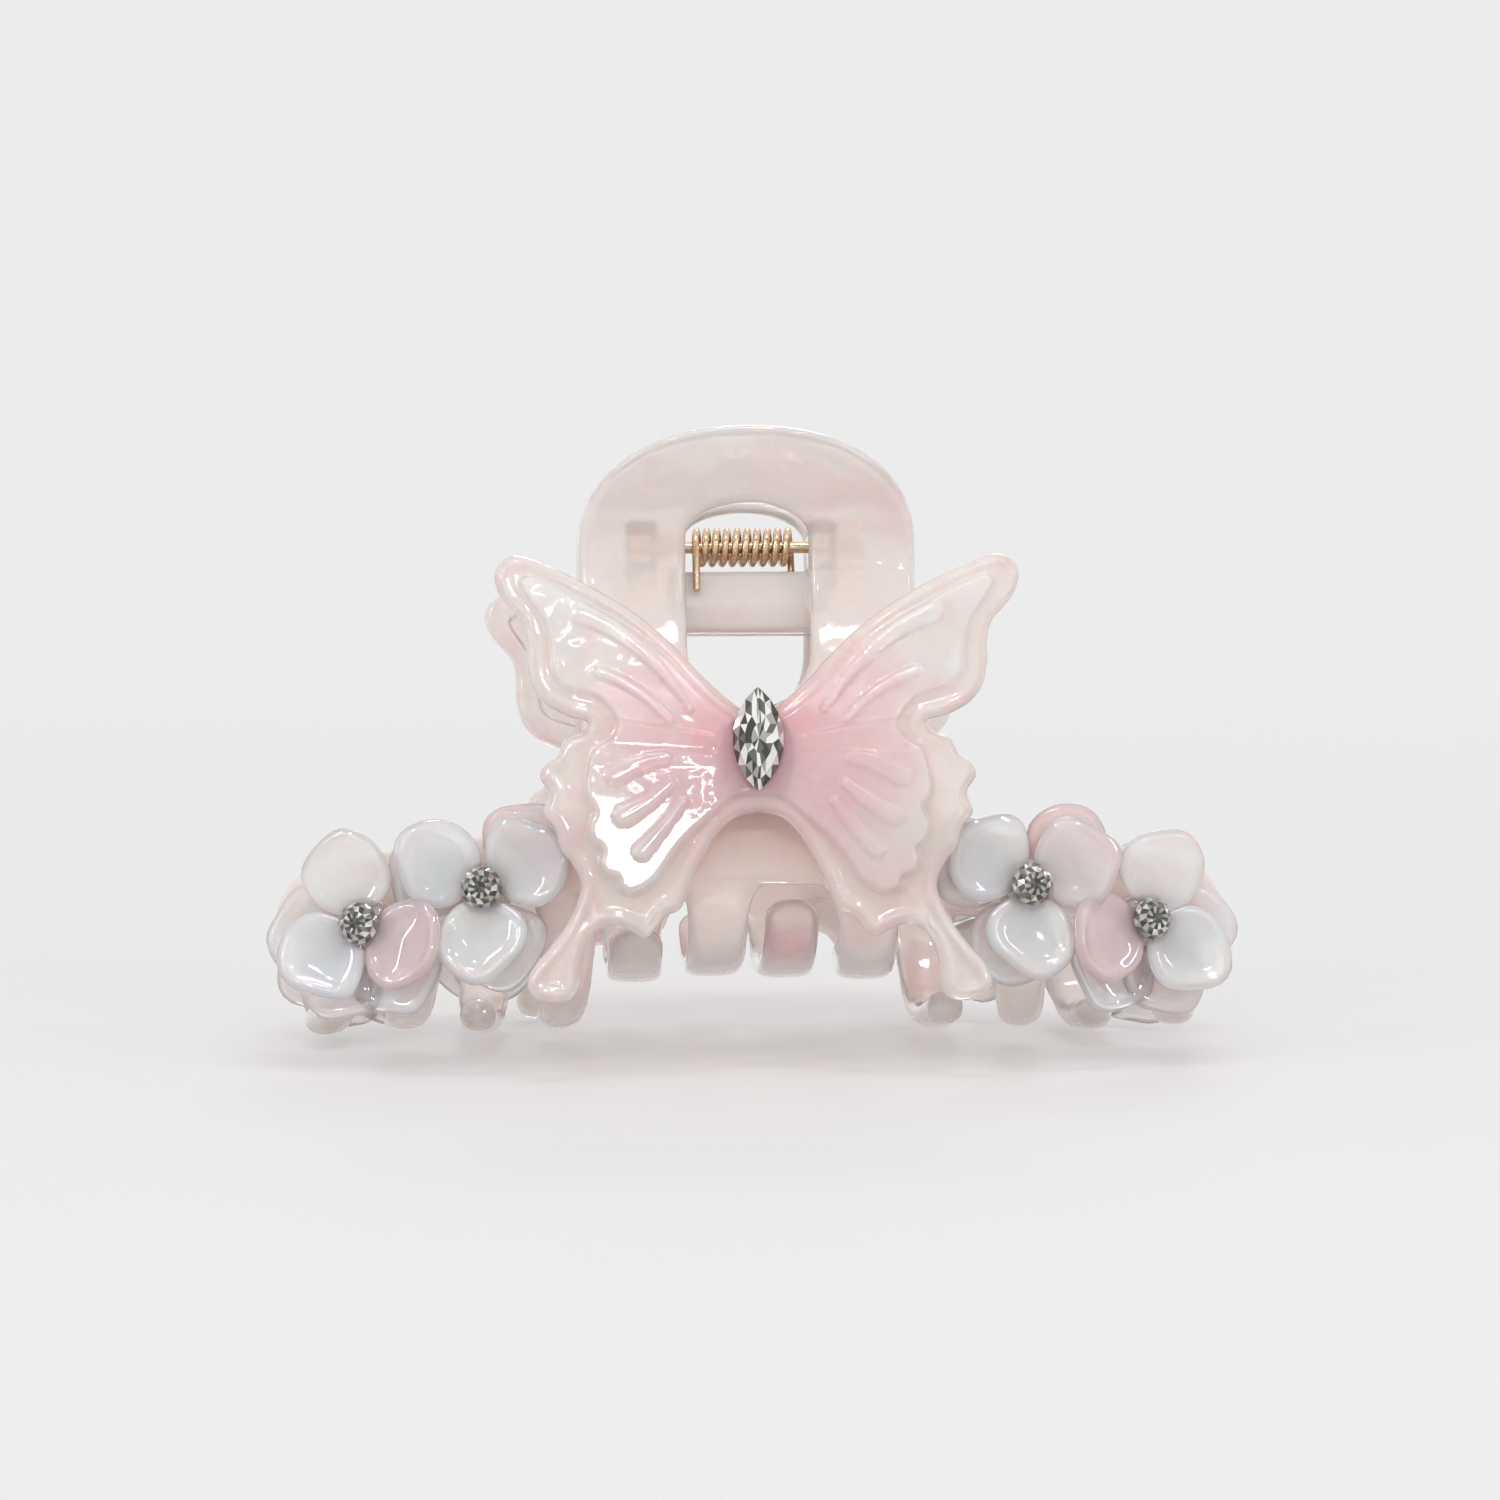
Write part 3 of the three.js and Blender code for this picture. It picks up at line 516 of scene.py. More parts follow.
def window_outline():
    turn = np.linspace(0, math.pi, 24)
    arch = np.column_stack([WINDOW_HALF_WIDTH * np.cos(turn),
                            WINDOW_TOP - WINDOW_ARCH + WINDOW_ARCH * np.sin(turn)])
    sill = np.column_stack([-WINDOW_HALF_WIDTH * np.cos(turn),
                            WINDOW_BOTTOM + WINDOW_HALF_WIDTH - WINDOW_HALF_WIDTH * np.sin(turn)])
    return np.vstack([arch, sill])


def round_section(count, squareness):
    """A rounded rectangle of half size 1, as two columns."""
    turn = np.linspace(0, 2 * math.pi, count, endpoint=False)
    power = 2 / squareness
    return (np.sign(np.cos(turn)) * np.abs(np.cos(turn)) ** power,
            np.sign(np.sin(turn)) * np.abs(np.sin(turn)) ** power)


def tooth(x):
    """A tooth that leaves the band with a filleted root, curls in under the jaw and ends in a round tip."""
    rank = min(len(TOOTH_PATHS) - 1, round(abs(x) / (TOOTH_PITCH / 2) - 0.5))
    reach, low, tip = TOOTH_PATHS[rank]
    root = float(band_bottom(x))
    face = float(jaw_face(x, root)) + 0.2 + TOOTH_THICKNESS / 2
    drop = root - low
    path = smooth_curve((
        (x, face, root + 1.6), (x, face + 0.02 * reach, root - 0.35 * drop),
        (x, face + 0.16 * reach, root - 0.8 * drop), (x, face + 0.42 * reach, low + 0.1),
        (x, face + 0.7 * reach, low + 0.12 * (tip - low)),
        (x, face + 0.92 * reach, low + 0.55 * (tip - low)), (x, face + reach, tip)), 16)
    travelled = np.concatenate([[0], np.cumsum(np.linalg.norm(np.diff(path, axis=0), axis=1))])
    length = travelled[-1]
    narrowing, swelling, tip_round, squareness = MIDDLE_TOOTH if rank < 2 else OUTER_TOOTH
    stations = np.concatenate([np.linspace(0, length - tip_round, 44),
                               length - tip_round + tip_round * np.sin(np.linspace(0.1, math.pi / 2, 9))])
    path = np.column_stack([np.interp(stations, travelled, path[:, k]) for k in range(3)])
    tangent = np.gradient(path, axis=0)
    tangent /= np.linalg.norm(tangent, axis=1)[:, None]
    u, v = round_section(28, squareness)
    rings = []
    for at, along, s in zip(path, tangent, stations):
        share = s / length
        width = TOOTH_WIDTH * (1 - narrowing * share)
        thickness = TOOTH_THICKNESS * (1 + swelling * share ** 2)
        cap = math.sqrt(max(0.02, 1 - (max(0.0, s - length + tip_round) / tip_round) ** 2))
        flare = 1 + ROOT_FLARE * math.exp(-max(0.0, s - 1.6) / 1.1)
        across = np.array((1.0, 0, 0))
        outwards = np.cross(along, across)
        centre = at + across * x * TOOTH_SLANT * share
        rings.append(centre + np.outer(u * width / 2 * cap * flare, across)
                     + np.outer(v * thickness / 2 * cap, outwards))
    return tube(rings)


def bar_along_x(outline, low, high):
    """A bar with the outline given in y and z."""
    outline = np.asarray(outline, float)
    stations = np.linspace(low, high, 8)
    return tube([np.column_stack([np.full(len(outline), x), outline]) for x in stations])


def lug(low):
    """A hinge lug with a round nose about the pin and a foot that runs down the plate."""
    root = -(HINGE_TO_PLATE - LUG_SINK)
    turn = np.radians(np.linspace(100, -100, 30))
    nose = np.column_stack([LUG_RADIUS * np.cos(turn), LUG_RADIUS * np.sin(turn)])
    outline = np.vstack([[(root, LUG_SHOULDER)], nose, [(root, LUG_FOOT)]])
    return bar_along_x(outline, low, low + LUG_WIDTH)


def crossbar():
    """The bar across the window that the spring's front leg lies against."""
    half = WINDOW_HALF_WIDTH + CROSSBAR_SINK
    return bar_along_x(CROSSBAR_SECTION, -half, half)


def jaw_mesh(sizes):
    """One jaw as a single moulding, with a tone of 1 where a lug stands behind the plate, which the material
    paints as the lug's shade seen through the tab.
    """
    loops = [even_loop(jaw_outline(), 0.7), even_loop(window_outline(), 0.5)]
    parts = [rounded_plate(loops, 0.8, sizes.plate_edge, jaw_surfaces)]
    parts += [lug(INNER_LUG), lug(-OUTER_LUG - LUG_WIDTH), crossbar()]
    parts += [tooth(FIRST_TOOTH + i * TOOTH_PITCH) for i in range(6)]
    rough = add_object("jaw_parts", mesh_of("jaw_parts", *joined(parts)))
    remesh = rough.modifiers.new("One moulding", "REMESH")
    remesh.mode = "VOXEL"
    remesh.voxel_size = sizes.jaw_voxel
    remesh.use_smooth_shade = True
    rounding = rough.modifiers.new("Rounding", "SMOOTH")
    rounding.factor = 0.5
    rounding.iterations = sizes.jaw_rounding
    mesh = evaluated_mesh(rough)
    remember_mould(mesh)
    x, _, z = vertex_places(mesh).T
    out = np.abs(x)
    # mask of the lugs' painted shade: where a lug stands behind the plate
    lug_shade = smooth_step(out, INNER_LUG - 0.3, INNER_LUG + 0.3)
    lug_shade *= smooth_step(OUTER_LUG + LUG_WIDTH - out, -0.2, 0.2)
    lug_shade *= smooth_step(z, -7.7, -7.1) * smooth_step(LUG_RADIUS - z, -0.3, 0.9)
    set_tone(mesh, lug_shade)
    return mesh


# ---- butterfly ----
def wing_face(x):
    return -BUTTERFLY_REACH - WING_SWEEP * (np.abs(x) / WING_HALF_SPAN) ** 1.5


def along_vein(points, start, middle, end, start_width, end_width):
    """How full a vein is at each point, from 1 on its line to 0 at its side."""
    line = bezier((start, 2 * np.array(middle) - (np.array(start) + np.array(end)) / 2, end), 24)
    nearest = np.full(len(points), np.inf)
    for i, place in enumerate(line):
        width = start_width + (end_width - start_width) * i / (len(line) - 1)
        np.minimum(nearest, np.hypot(*(points - place).T) / width, out=nearest)
    return np.sqrt(np.clip(1 - (nearest * 0.8) ** 4, 0, 1))


def inside_field(points):
    """Distance from each point to the edge of the raised field, negative outside it."""
    field = even_loop(smooth_curve(WING_FIELD, 8, closed=True), 0.35)
    return distance_to_loops(points, [field]) * np.where(inside_loops(points, [field]), 1, -1)


def wing_relief(x, z, sizes):
    """Height of the butterfly's front above its plain face: field, veins, valley between the wings, rim."""
    points = np.column_stack([np.abs(x), z - BUTTERFLY_HEIGHT])
    inner = inside_field(points)
    rise = sizes.field_rise * smooth_step(inner, -0.25, 0.4)
    rise = rise + FIELD_SLOPE * np.clip(-points[:, 1] - 3.0, 0, None) * smooth_step(inner, -0.3, 0.55)
    for vein in VEINS:
        rise = rise + sizes.vein_rise * along_vein(points, *vein)
    rise = rise - VALLEY_DEPTH * along_vein(points, *VALLEY)
    tail = smooth_step(-points[:, 1], 17.5, 20.5) * smooth_step(points[:, 0], 17.5, 19.5)
    rise = rise + tail * (TAIL_RISE - TAIL_HOLLOW_DEPTH * along_vein(points, *TAIL_HOLLOW))
    seat = np.exp(-((points[:, 0] / 4.2) ** 2 + ((points[:, 1] + 1.5) / 8.0) ** 2))
    return rise * (1 - seat) + SEAT_RISE * seat


def butterfly_mesh(sizes):
    """The butterfly and the boss that carries it, with a tone of 1 on the rim outside the fields, where the
    material paints the rim band's own peach, partly painted shade at the wings' edges.
    """
    half = smooth_curve(HALF_WING, 6)
    outline = np.vstack([half, (half * (-1, 1))[::-1][1:-1]]) + (0, BUTTERFLY_HEIGHT)
    outline = even_loop(outline, 0.32)

    def surfaces(x, z, depth):
        back = wing_face(x) + BUTTERFLY_THICKNESS
        bead = sizes.rim_rise * np.exp(-((depth - 1.0) / 0.55) ** 2)
        body = np.exp(-((x / 4.5) ** 2 + ((z - BUTTERFLY_HEIGHT + 1.5) / 9.0) ** 2))
        return wing_face(x) - wing_relief(x, z, sizes) - bead * (1 - body), back

    plate = rounded_plate([outline], sizes.wing_mesh, sizes.wing_edge, surfaces)
    u, v = round_section(36, 3.0)
    boss_x, boss_z = 4.2 * u, BUTTERFLY_HEIGHT - 2 + 5.0 * v
    front, back = wing_face(boss_x) + 1.1, jaw_face(boss_x, boss_z) + 0.2
    rings = [np.column_stack([boss_x, front + (back - front) * t, boss_z])
             for t in np.linspace(0, 1, 14)]
    mesh = mesh_of("butterfly", *joined([plate, tube(rings)]))
    x, _, z = vertex_places(mesh).T
    inner = inside_field(np.column_stack([np.abs(x), z - BUTTERFLY_HEIGHT]))
    set_tone(mesh, 1 - smooth_step(inner, -0.5, 0.2))
    return mesh


# ---- petals ----
def petal_mesh(sizes, reach, front, lift, tilt, cup, bead):
    """One dished petal with a thick round rim, its root towards the flower's centre, as a closed body."""
    spokes = 44
    shares = np.concatenate([np.linspace(0, 0.8, 11), 0.8 + 0.2 * np.sin(np.radians((18, 36, 54, 72, 90)))])
    turn = np.linspace(0, 2 * math.pi, spokes, endpoint=False)
    outwards = 0.5 + 0.5 * np.cos(turn)
    point = 1.0 * np.clip(np.cos(turn), 0, 1) ** 9
    rings = {1: [], -1: []}
    for share in shares:
        radial = reach + share * (sizes.petal_length / 2 + point) * np.cos(turn)
        round_side = np.sign(np.sin(turn)) * np.abs(np.sin(turn)) ** 0.9
        side = share * sizes.petal_width / 2 * round_side * (1 + 0.10 * np.cos(turn))
        depth = front + lift + tilt * radial + cup * share ** 2 * (0.35 + 0.65 * outwards)
        full = math.sqrt(max(0.0, 1 - (max(0.0, share - 0.8) / 0.2) ** 2))
        half = sizes.petal_thickness / 2 * full
        rim = bead * math.exp(-((share - 0.8) / 0.1) ** 2) * full
        rings[1].append(np.column_stack([radial, -(depth + half + rim * (0.3 + 0.7 * outwards)), side]))
        rings[-1].append(np.column_stack([radial, -(depth - half), side]))
    return tube(rings[-1][1:] + rings[1][-2:0:-1])


def core_mesh(front):
    """The low dome at the middle of a whorl."""
    levels = ((0.6, 0.0), (0.95, 0.0), (1.0, 0.12), (1.0, 0.6), (0.93, 0.85), (0.78, 0.98), (0.5, 1.0))
    turn = np.linspace(0, 2 * math.pi, 32, endpoint=False)
    return tube([np.column_stack([CORE_RADIUS * r * np.cos(turn),
                                  np.full(32, -(front + CORE_THICKNESS * h)),
                                  CORE_RADIUS * r * np.sin(turn)]) for r, h in levels])


def node_group(name, inputs, kinds, links):
    """A Geometry Nodes group that ends by making what it built real and giving it the material "Finish".

    inputs are names and socket types; kinds are key, node type, settings and input values; links are node,
    output, node, input. Gives the group and the identifiers of its own inputs, the material's last."""
    tree = bpy.data.node_groups.new(name, "GeometryNodeTree")
    identifiers = []
    for label, kind in (("Geometry", "Geometry"), *inputs, ("Finish", "Material")):
        socket = tree.interface.new_socket(label, in_out="INPUT", socket_type="NodeSocket" + kind)
        identifiers.append(socket.identifier)
    tree.interface.new_socket("Geometry", in_out="OUTPUT", socket_type="NodeSocketGeometry")
    nodes = {}
    for key, kind, settings, values in (
            ("start", "NodeGroupInput", {}, {}), *kinds, ("realize", "GeometryNodeRealizeInstances", {}, {}),
            ("paint", "GeometryNodeSetMaterial", {}, {}), ("end", "NodeGroupOutput", {}, {})):
        nodes[key] = tree.nodes.new(kind)
        for label, value in settings.items():
            setattr(nodes[key], label, value)
        for label, value in values.items():
            nodes[key].inputs[label].default_value = value
    for origin, output, target, entry in (
            *links, ("realize", "Geometry", "paint", "Geometry"), ("start", "Finish", "paint", "Material"),
            ("paint", "Geometry", "end", "Geometry")):
        tree.links.new(nodes[origin].outputs[output], nodes[target].inputs[entry])
    return tree, *identifiers[1:]


def whorl_tree():
    """Geometry Nodes: a petal at each point, turned about the flower's axis by the point's own angle."""
    return node_group(
        "Petal whorl", (("Petal", "Object"),),
        (("info", "GeometryNodeObjectInfo", {}, {}),
         ("turn", "GeometryNodeInputNamedAttribute", {"data_type": "FLOAT_VECTOR"}, {"Name": "turn"}),
         ("instance", "GeometryNodeInstanceOnPoints", {}, {})),
        (("start", "Geometry", "instance", "Points"), ("start", "Petal", "info", "Object"),
         ("info", "Geometry", "instance", "Instance"), ("turn", "Attribute", "instance", "Rotation"),
         ("instance", "Instances", "realize", "Geometry")))


def whorl_mesh(tree, petal, petals, front, material, seed):
    """Petals at the given turns on a core, each a little uneven and with its own tone."""
    group, petal_socket, finish_socket = tree
    seeds = bpy.data.meshes.new("whorl_points")
    seeds.from_pydata([(0, 0, 0)] * len(petals), [], [])
    angles = seeds.attributes.new("turn", "FLOAT_VECTOR", "POINT")
    for item, (degrees, _) in zip(angles.data, petals):
        item.vector = (0, -math.radians(degrees), 0)
    holder = add_object("whorl", seeds)
    modifier = holder.modifiers.new("Petal whorl", "NODES")
    modifier.node_group = group
    modifier[petal_socket] = petal
    modifier[finish_socket] = material
    made = evaluated_mesh(holder)
    places = vertex_places(made).reshape(len(petals), -1, 3)
    faces = [tuple(face.vertices) for face in made.polygons]
    random = np.random.default_rng(seed)
    tones = []
    for (_, tone), petal_places in zip(petals, places):
        phase = random.uniform(0, 2 * math.pi, 4)
        waves = np.sin(petal_places[:, 0] * 0.55 + phase[0]) + np.sin(petal_places[:, 2] * 0.6 + phase[1])
        waves += 0.6 * np.sin((petal_places[:, 0] + petal_places[:, 2]) * 0.9 + phase[2])
        radius = np.hypot(petal_places[:, 0], petal_places[:, 2])
        petal_places[:, 1] -= 0.13 * waves * smooth_step(radius, 3.0, 7.0)
        skew = 0.35 * smooth_step(radius, 3.0, 9.0)
        petal_places[:, (0, 2)] += np.column_stack([skew * np.sin(petal_places[:, 2] * 0.55 + phase[3]),
                                                    skew * np.sin(petal_places[:, 0] * 0.55 + phase[1])])
        tones.append(np.full(len(petal_places), tone))
    core_points, core_faces = core_mesh(front)
    points, faces = joined([(places.reshape(-1, 3), faces), (core_points, core_faces)])
    mesh = mesh_of("whorl", points, faces)
    set_tone(mesh, np.concatenate([*tones, np.full(len(core_points), 0.5)]))
    bpy.data.meshes.remove(made)
    return mesh


def flower_matrix(x, z):
    """From a flower's own frame to its jaw's: it faces along the bowed band, and its rim clears the band."""
    slope = float(bow(x + 1) - bow(x - 1)) / 2
    turn = np.linspace(0, 2 * math.pi, 13)
    rim = jaw_face(x + CORE_RADIUS * np.cos(turn), z + CORE_RADIUS * np.sin(turn))
    seat = float(min(jaw_face(x, z), (rim - slope * CORE_RADIUS * np.cos(turn)).min())) - GLUE_GAP
    return Matrix.Translation((x, seat, z)) @ Matrix.Rotation(math.atan(slope), 4, "Z")


# ---- stones ----
# share of the outline, share of the height, and whether the ring is turned by half a facet
FOIL_BACK = ((0.7, 0, False), (1, 0.36, False), (1, 0.44, False))
ROUND_CUT = (*FOIL_BACK, (0.84, 0.72, True), (0.56, 1.0, False), (0.28, 1.0, True))
NAVETTE_CUT = (*FOIL_BACK, (0.8, 0.78, True), (0.55, 1.0, False), (0.3, 1.04, True))
# painted reflections: brightness of the two facets that alternate in each band, dark or bright in place of
# what they mirror: back and girdle, crown, stars, edge of the table
FACET_SHADES = (0.32, 0.32), (0.68, 0.32), (0.16, 0.76), (0.64, 0.08)
# painted reflections of the table and the back, and the random spread of each facet's painted reflection
TABLE_SHADE, BACK_SHADE = 0.15, 0.3
SHADE_SPREAD = 0.12
# painted reflections: brightnesses that the facets of a navette take at random, and how often
NAVETTE_SHADES = (0.05, 0.25, 0.6, 0.95, 1.0)
NAVETTE_ODDS = (0.26, 0.2, 0.2, 0.2, 0.14)


def stone_faces(levels, count):
    """Facets between the rings, then a fan over the table and a fan over the back."""
    faces = []
    for i, (lower, upper) in enumerate(zip(levels, levels[1:])):
        for j in range(count):
            a, b = i * count + j, i * count + (j + 1) % count
            c, d = a + count, b + count
            if upper[2] and not lower[2]:
                faces += [(a, b, c), (b, d, c)]
            elif lower[2] and not upper[2]:
                faces += [(a, d, c), (a, b, d)]
            else:
                faces += [(a, b, d, c)]
    top, last = len(levels) * count, (len(levels) - 1) * count
    for j in range(count):
        faces.append((top, last + j, last + (j + 1) % count))
        faces.append((top + 1, (j + 1) % count, j))
    return faces


def facet_shades(levels, count):
    """Painted reflection, as a brightness, of each facet of an evenly cut stone, in the order of its faces.
    """
    shades = []
    for band, (lower, upper) in enumerate(zip(levels, levels[1:])):
        for j in range(count):
            shades += [FACET_SHADES[max(0, band - 1)][j % 2]] * (2 if upper[2] != lower[2] else 1)
    return np.array(shades + [TABLE_SHADE, BACK_SHADE] * count)


def stone_mesh(name, outline, height, seed, levels, scattered):
    """A cut stone on a foil back, with a painted reflection of its own, dark or bright, for each facet."""
    count = len(outline)
    rings = []
    for scale, level, half_turn in levels:
        ring = outline if not half_turn else (outline + np.roll(outline, -1, axis=0)) / 2
        x, z = (ring * scale).T
        rings.append(np.column_stack([x, np.full(count, -height * level), z]))
    points = np.vstack([*rings, [(0, -height * levels[-1][1] - 0.02 * height, 0)], [(0, 0, 0)]])
    points, faces = outward(points, stone_faces(levels, count))
    mesh = mesh_of(name, points, faces)
    mesh.polygons.foreach_set("use_smooth", [False] * len(mesh.polygons))
    random = np.random.default_rng(seed)
    if scattered:
        shades = random.choice(NAVETTE_SHADES, size=len(faces), p=NAVETTE_ODDS)
    else:
        shades = facet_shades(levels, count)
        shades = np.clip(shades + random.normal(0, SHADE_SPREAD, len(shades)), 0, 1)
    attribute = mesh.attributes.new("facet", "FLOAT", "FACE")
    attribute.data.foreach_set("value", shades.astype(np.float32))
    return mesh


def round_stone_mesh(seed):
    turn = np.linspace(0, 2 * math.pi, 16, endpoint=False)
    outline = ROUND_STONE_DIAMETER / 2 * np.column_stack([np.cos(turn), np.sin(turn)])
    return stone_mesh("round_stone", outline, ROUND_STONE_HEIGHT, seed, ROUND_CUT, False)


def navette_mesh(seed):
    length, width = NAVETTE_LENGTH / 2, NAVETTE_WIDTH / 2
    radius = (length ** 2 + width ** 2) / (2 * width)
    heights = -length * np.cos(np.linspace(0, math.pi, 10))
    bulge = np.sqrt(radius ** 2 - heights ** 2) - (radius - width)
    right = np.column_stack([bulge, heights])[:-1]
    outline = np.vstack([right, -right])
    return stone_mesh("navette", outline, NAVETTE_HEIGHT, seed, NAVETTE_CUT, True)


# ---- spring and pin ----
def spring_path():
    """The coil round the pin, with one leg down the front crossbar and the other up the rear tab."""
    start_angle = math.pi - math.radians(22)
    t = np.linspace(0, 1, round(COIL_TURNS * 28) + 1)
    angle = start_angle - 2 * math.pi * COIL_TURNS * t
    coil = np.column_stack([COIL_START + COIL_PITCH * COIL_TURNS * t,
                            COIL_RADIUS * np.cos(angle), COIL_RADIUS * np.sin(angle)])

    def leg(at, turn, length, sense):
        away = np.array((0, sense * math.sin(turn), -sense * math.cos(turn)))
        return at + np.linspace(length, 0.3, 8)[:, None] * away

    first = leg(coil[0], start_angle, FRONT_LEG, -1)
    last = leg(coil[-1], angle[-1], REAR_LEG, 1)[::-1]
    return np.vstack([first, coil, last])


def sweep_tree():
    """Geometry Nodes: a round wire along a curve, with closed ends."""
    return node_group(
        "Swept wire", (("Wire radius", "Float"),),
        (("circle", "GeometryNodeCurvePrimitiveCircle", {}, {"Resolution": 14}),
         ("sweep", "GeometryNodeCurveToMesh", {}, {"Fill Caps": True})),
        (("start", "Geometry", "sweep", "Curve"), ("start", "Wire radius", "circle", "Radius"),
         ("circle", "Curve", "sweep", "Profile Curve"), ("sweep", "Mesh", "realize", "Geometry")))


def swept_mesh(name, path, radius, material):
    tree, radius_socket, finish_socket = sweep_tree()
    curve = bpy.data.curves.new(name, "CURVE")
    curve.dimensions = "3D"
    spline = curve.splines.new("POLY")
    spline.points.add(len(path) - 1)
    for point, place in zip(spline.points, path):
        point.co = (*place, 1)
    holder = add_object(name + "_path", curve)
    modifier = holder.modifiers.new("Swept wire", "NODES")
    modifier.node_group = tree
    modifier[radius_socket] = radius
    modifier[finish_socket] = material
    mesh = evaluated_mesh(holder)
    mesh.polygons.foreach_set("use_smooth", [True] * len(mesh.polygons))
    return mesh


def pin_mesh():
    """The pin, a rod with rounded ends."""
    turn = np.linspace(0, 2 * math.pi, 24, endpoint=False)
    ends = [(PIN_LENGTH / 2 - PIN_ROUNDING + PIN_ROUNDING * math.sin(a),
             PIN_RADIUS - PIN_ROUNDING + PIN_ROUNDING * math.cos(a)) for a in np.radians((0, 22, 45, 68, 90))]
    profile = [(-x, r) for x, r in reversed(ends)] + ends
    return mesh_of("pin", *tube([np.column_stack([np.full(24, x), r * np.cos(turn), r * np.sin(turn)])
                                 for x, r in profile]))


# ---- materials ----
class Shader:
    """A material under construction: its node tree and a few short ways to add to it."""

    def __init__(self, name):
        self.material = bpy.data.materials.new(name)
        self.material.use_nodes = True
        self.nodes = self.material.node_tree.nodes
        self.link = self.material.node_tree.links.new
        self.surface = self.nodes["Principled BSDF"]

    def add(self, kind, inputs=None, **settings):
        made = self.nodes.new("ShaderNode" + kind)
        for key, value in settings.items():
            setattr(made, key, value)
        for key, value in (inputs or {}).items():
            if isinstance(value, bpy.types.NodeSocket):
                self.link(value, made.inputs[key])
            else:
                made.inputs[key].default_value = value
        return made

    def set(self, **values):
        for key, value in values.items():
            self.surface.inputs[key.replace("_", " ")].default_value = value

    def mould(self):
        return self.add("Attribute", attribute_name="mould").outputs["Vector"]

    def attribute(self, name):
        return self.add("Attribute", attribute_name=name).outputs["Fac"]

    def span(self, value, low, high, bottom=0.0, top=1.0):
        """The value carried over from low and high to bottom and top, and kept between them."""
        return self.add("MapRange", {"Value": value, "From Min": low, "From Max": high,
                                     "To Min": bottom, "To Max": top}).outputs["Result"]

    def vector(self, operation, a, b):
        return self.add("VectorMath", {0: a, 1: b}, operation=operation).outputs[0]

    def length(self, place):
        return self.add("VectorMath", {0: place}, operation="LENGTH").outputs["Value"]

    def noise(self, vector, scale, detail=2.0, distortion=0.0):
        return self.add("TexNoise", {"Vector": vector, "Scale": scale, "Detail": detail,
                                     "Distortion": distortion}).outputs["Fac"]

    def ramp(self, factor, stops):
        made = self.add("ValToRGB", {"Fac": factor})
        made.color_ramp.interpolation = "EASE"
        elements = made.color_ramp.elements
        while len(elements) < len(stops):
            elements.new(0.5)
        for element, (place, colour) in zip(elements, stops):
            element.position = place
            element.color = (*colour, 1)
        return made.outputs["Color"]

    def mix(self, factor, a, b, blend="MIX"):
        made = self.add("Mix", data_type="RGBA", blend_type=blend)
        for socket, value in ((made.inputs[0], factor), (made.inputs[6], a), (made.inputs[7], b)):
            if isinstance(value, bpy.types.NodeSocket):
                self.link(value, socket)
            elif isinstance(value, (int, float)):
                socket.default_value = value
            else:
                socket.default_value = (*value, 1)
        return made.outputs[2]

    def maths(self, operation, a, b=0.0):
        made = self.add("Math", operation=operation)
        for socket, value in zip(made.inputs, (a, b)):
            if isinstance(value, bpy.types.NodeSocket):
                self.link(value, socket)
            else:
                socket.default_value = value
        return made.outputs[0]

    def bump(self, height, strength, distance):
        made = self.add("Bump", {"Height": height, "Strength": strength, "Distance": distance})
        self.link(made.outputs["Normal"], self.surface.inputs["Normal"])


PEARL_STOPS = ((0.32, (0.88, 0.95, 0.96)), (0.44, (0.97, 0.98, 0.94)), (0.56, (0.98, 0.92, 0.92)),
               (0.68, (0.93, 0.93, 0.98)))
# tints of the petals' tones, from cool and pale to pink
TONE_STOPS = ((0.0, (0.95, 0.97, 1.0)), (0.3, (0.99, 1.0, 0.97)), (0.6, (1.0, 0.97, 0.96)),
              (1.0, (1.0, 0.70, 0.70)))
# painted light: the teeth turn paler and peachier towards their lower ends, lifting the shade under the jaw
TOOTH_PAINTED_LIGHT = (1.0, 0.86, 0.81)  # the thin ends of the teeth let the most light through
# where the acetate is pinkest: place in the jaw's frame, reach in millimetres and strength
ROSE_SPOTS = (((-4.3, 11.5, -51.0), 8.0, 0.95), ((12.0, -16.5, -44.5), 4.5, 0.5),
              ((-22.0, -15.5, -51.0), 7.0, 0.3))


def finish_acetate(shader, colour, pearliness=0.4, film=0.0, waviness=0.25, clearness=0.6):
    """Clouded pearl acetate: soft inside, polished outside, with a faint play of colour."""
    mould = shader.mould()
    pearl = shader.ramp(shader.noise(mould, 0.16, 2.0, 1.6), PEARL_STOPS)
    clouds = shader.noise(mould, 0.32, 3.0, 2.2)
    streaked = shader.mix(shader.maths("MULTIPLY", clouds, pearliness), colour, pearl)
    shader.link(streaked, shader.surface.inputs["Base Color"])
    shader.set(Subsurface_Weight=0.6, Subsurface_Radius=(1.0, 0.7, 0.62), Subsurface_Scale=0.004,
               IOR=1.5, Coat_Weight=1.0, Coat_Roughness=0.015, Thin_Film_Thickness=film, Thin_Film_IOR=1.38,
               Transmission_Weight=clearness)
    wear = shader.noise(mould, 1.3, 4.0)
    shader.link(shader.span(wear, 0.0, 1.0, 0.03, 0.09), shader.surface.inputs["Roughness"])
    shader.bump(shader.noise(mould, 0.35, 1.0), waviness, 0.0006)
    return shader.material


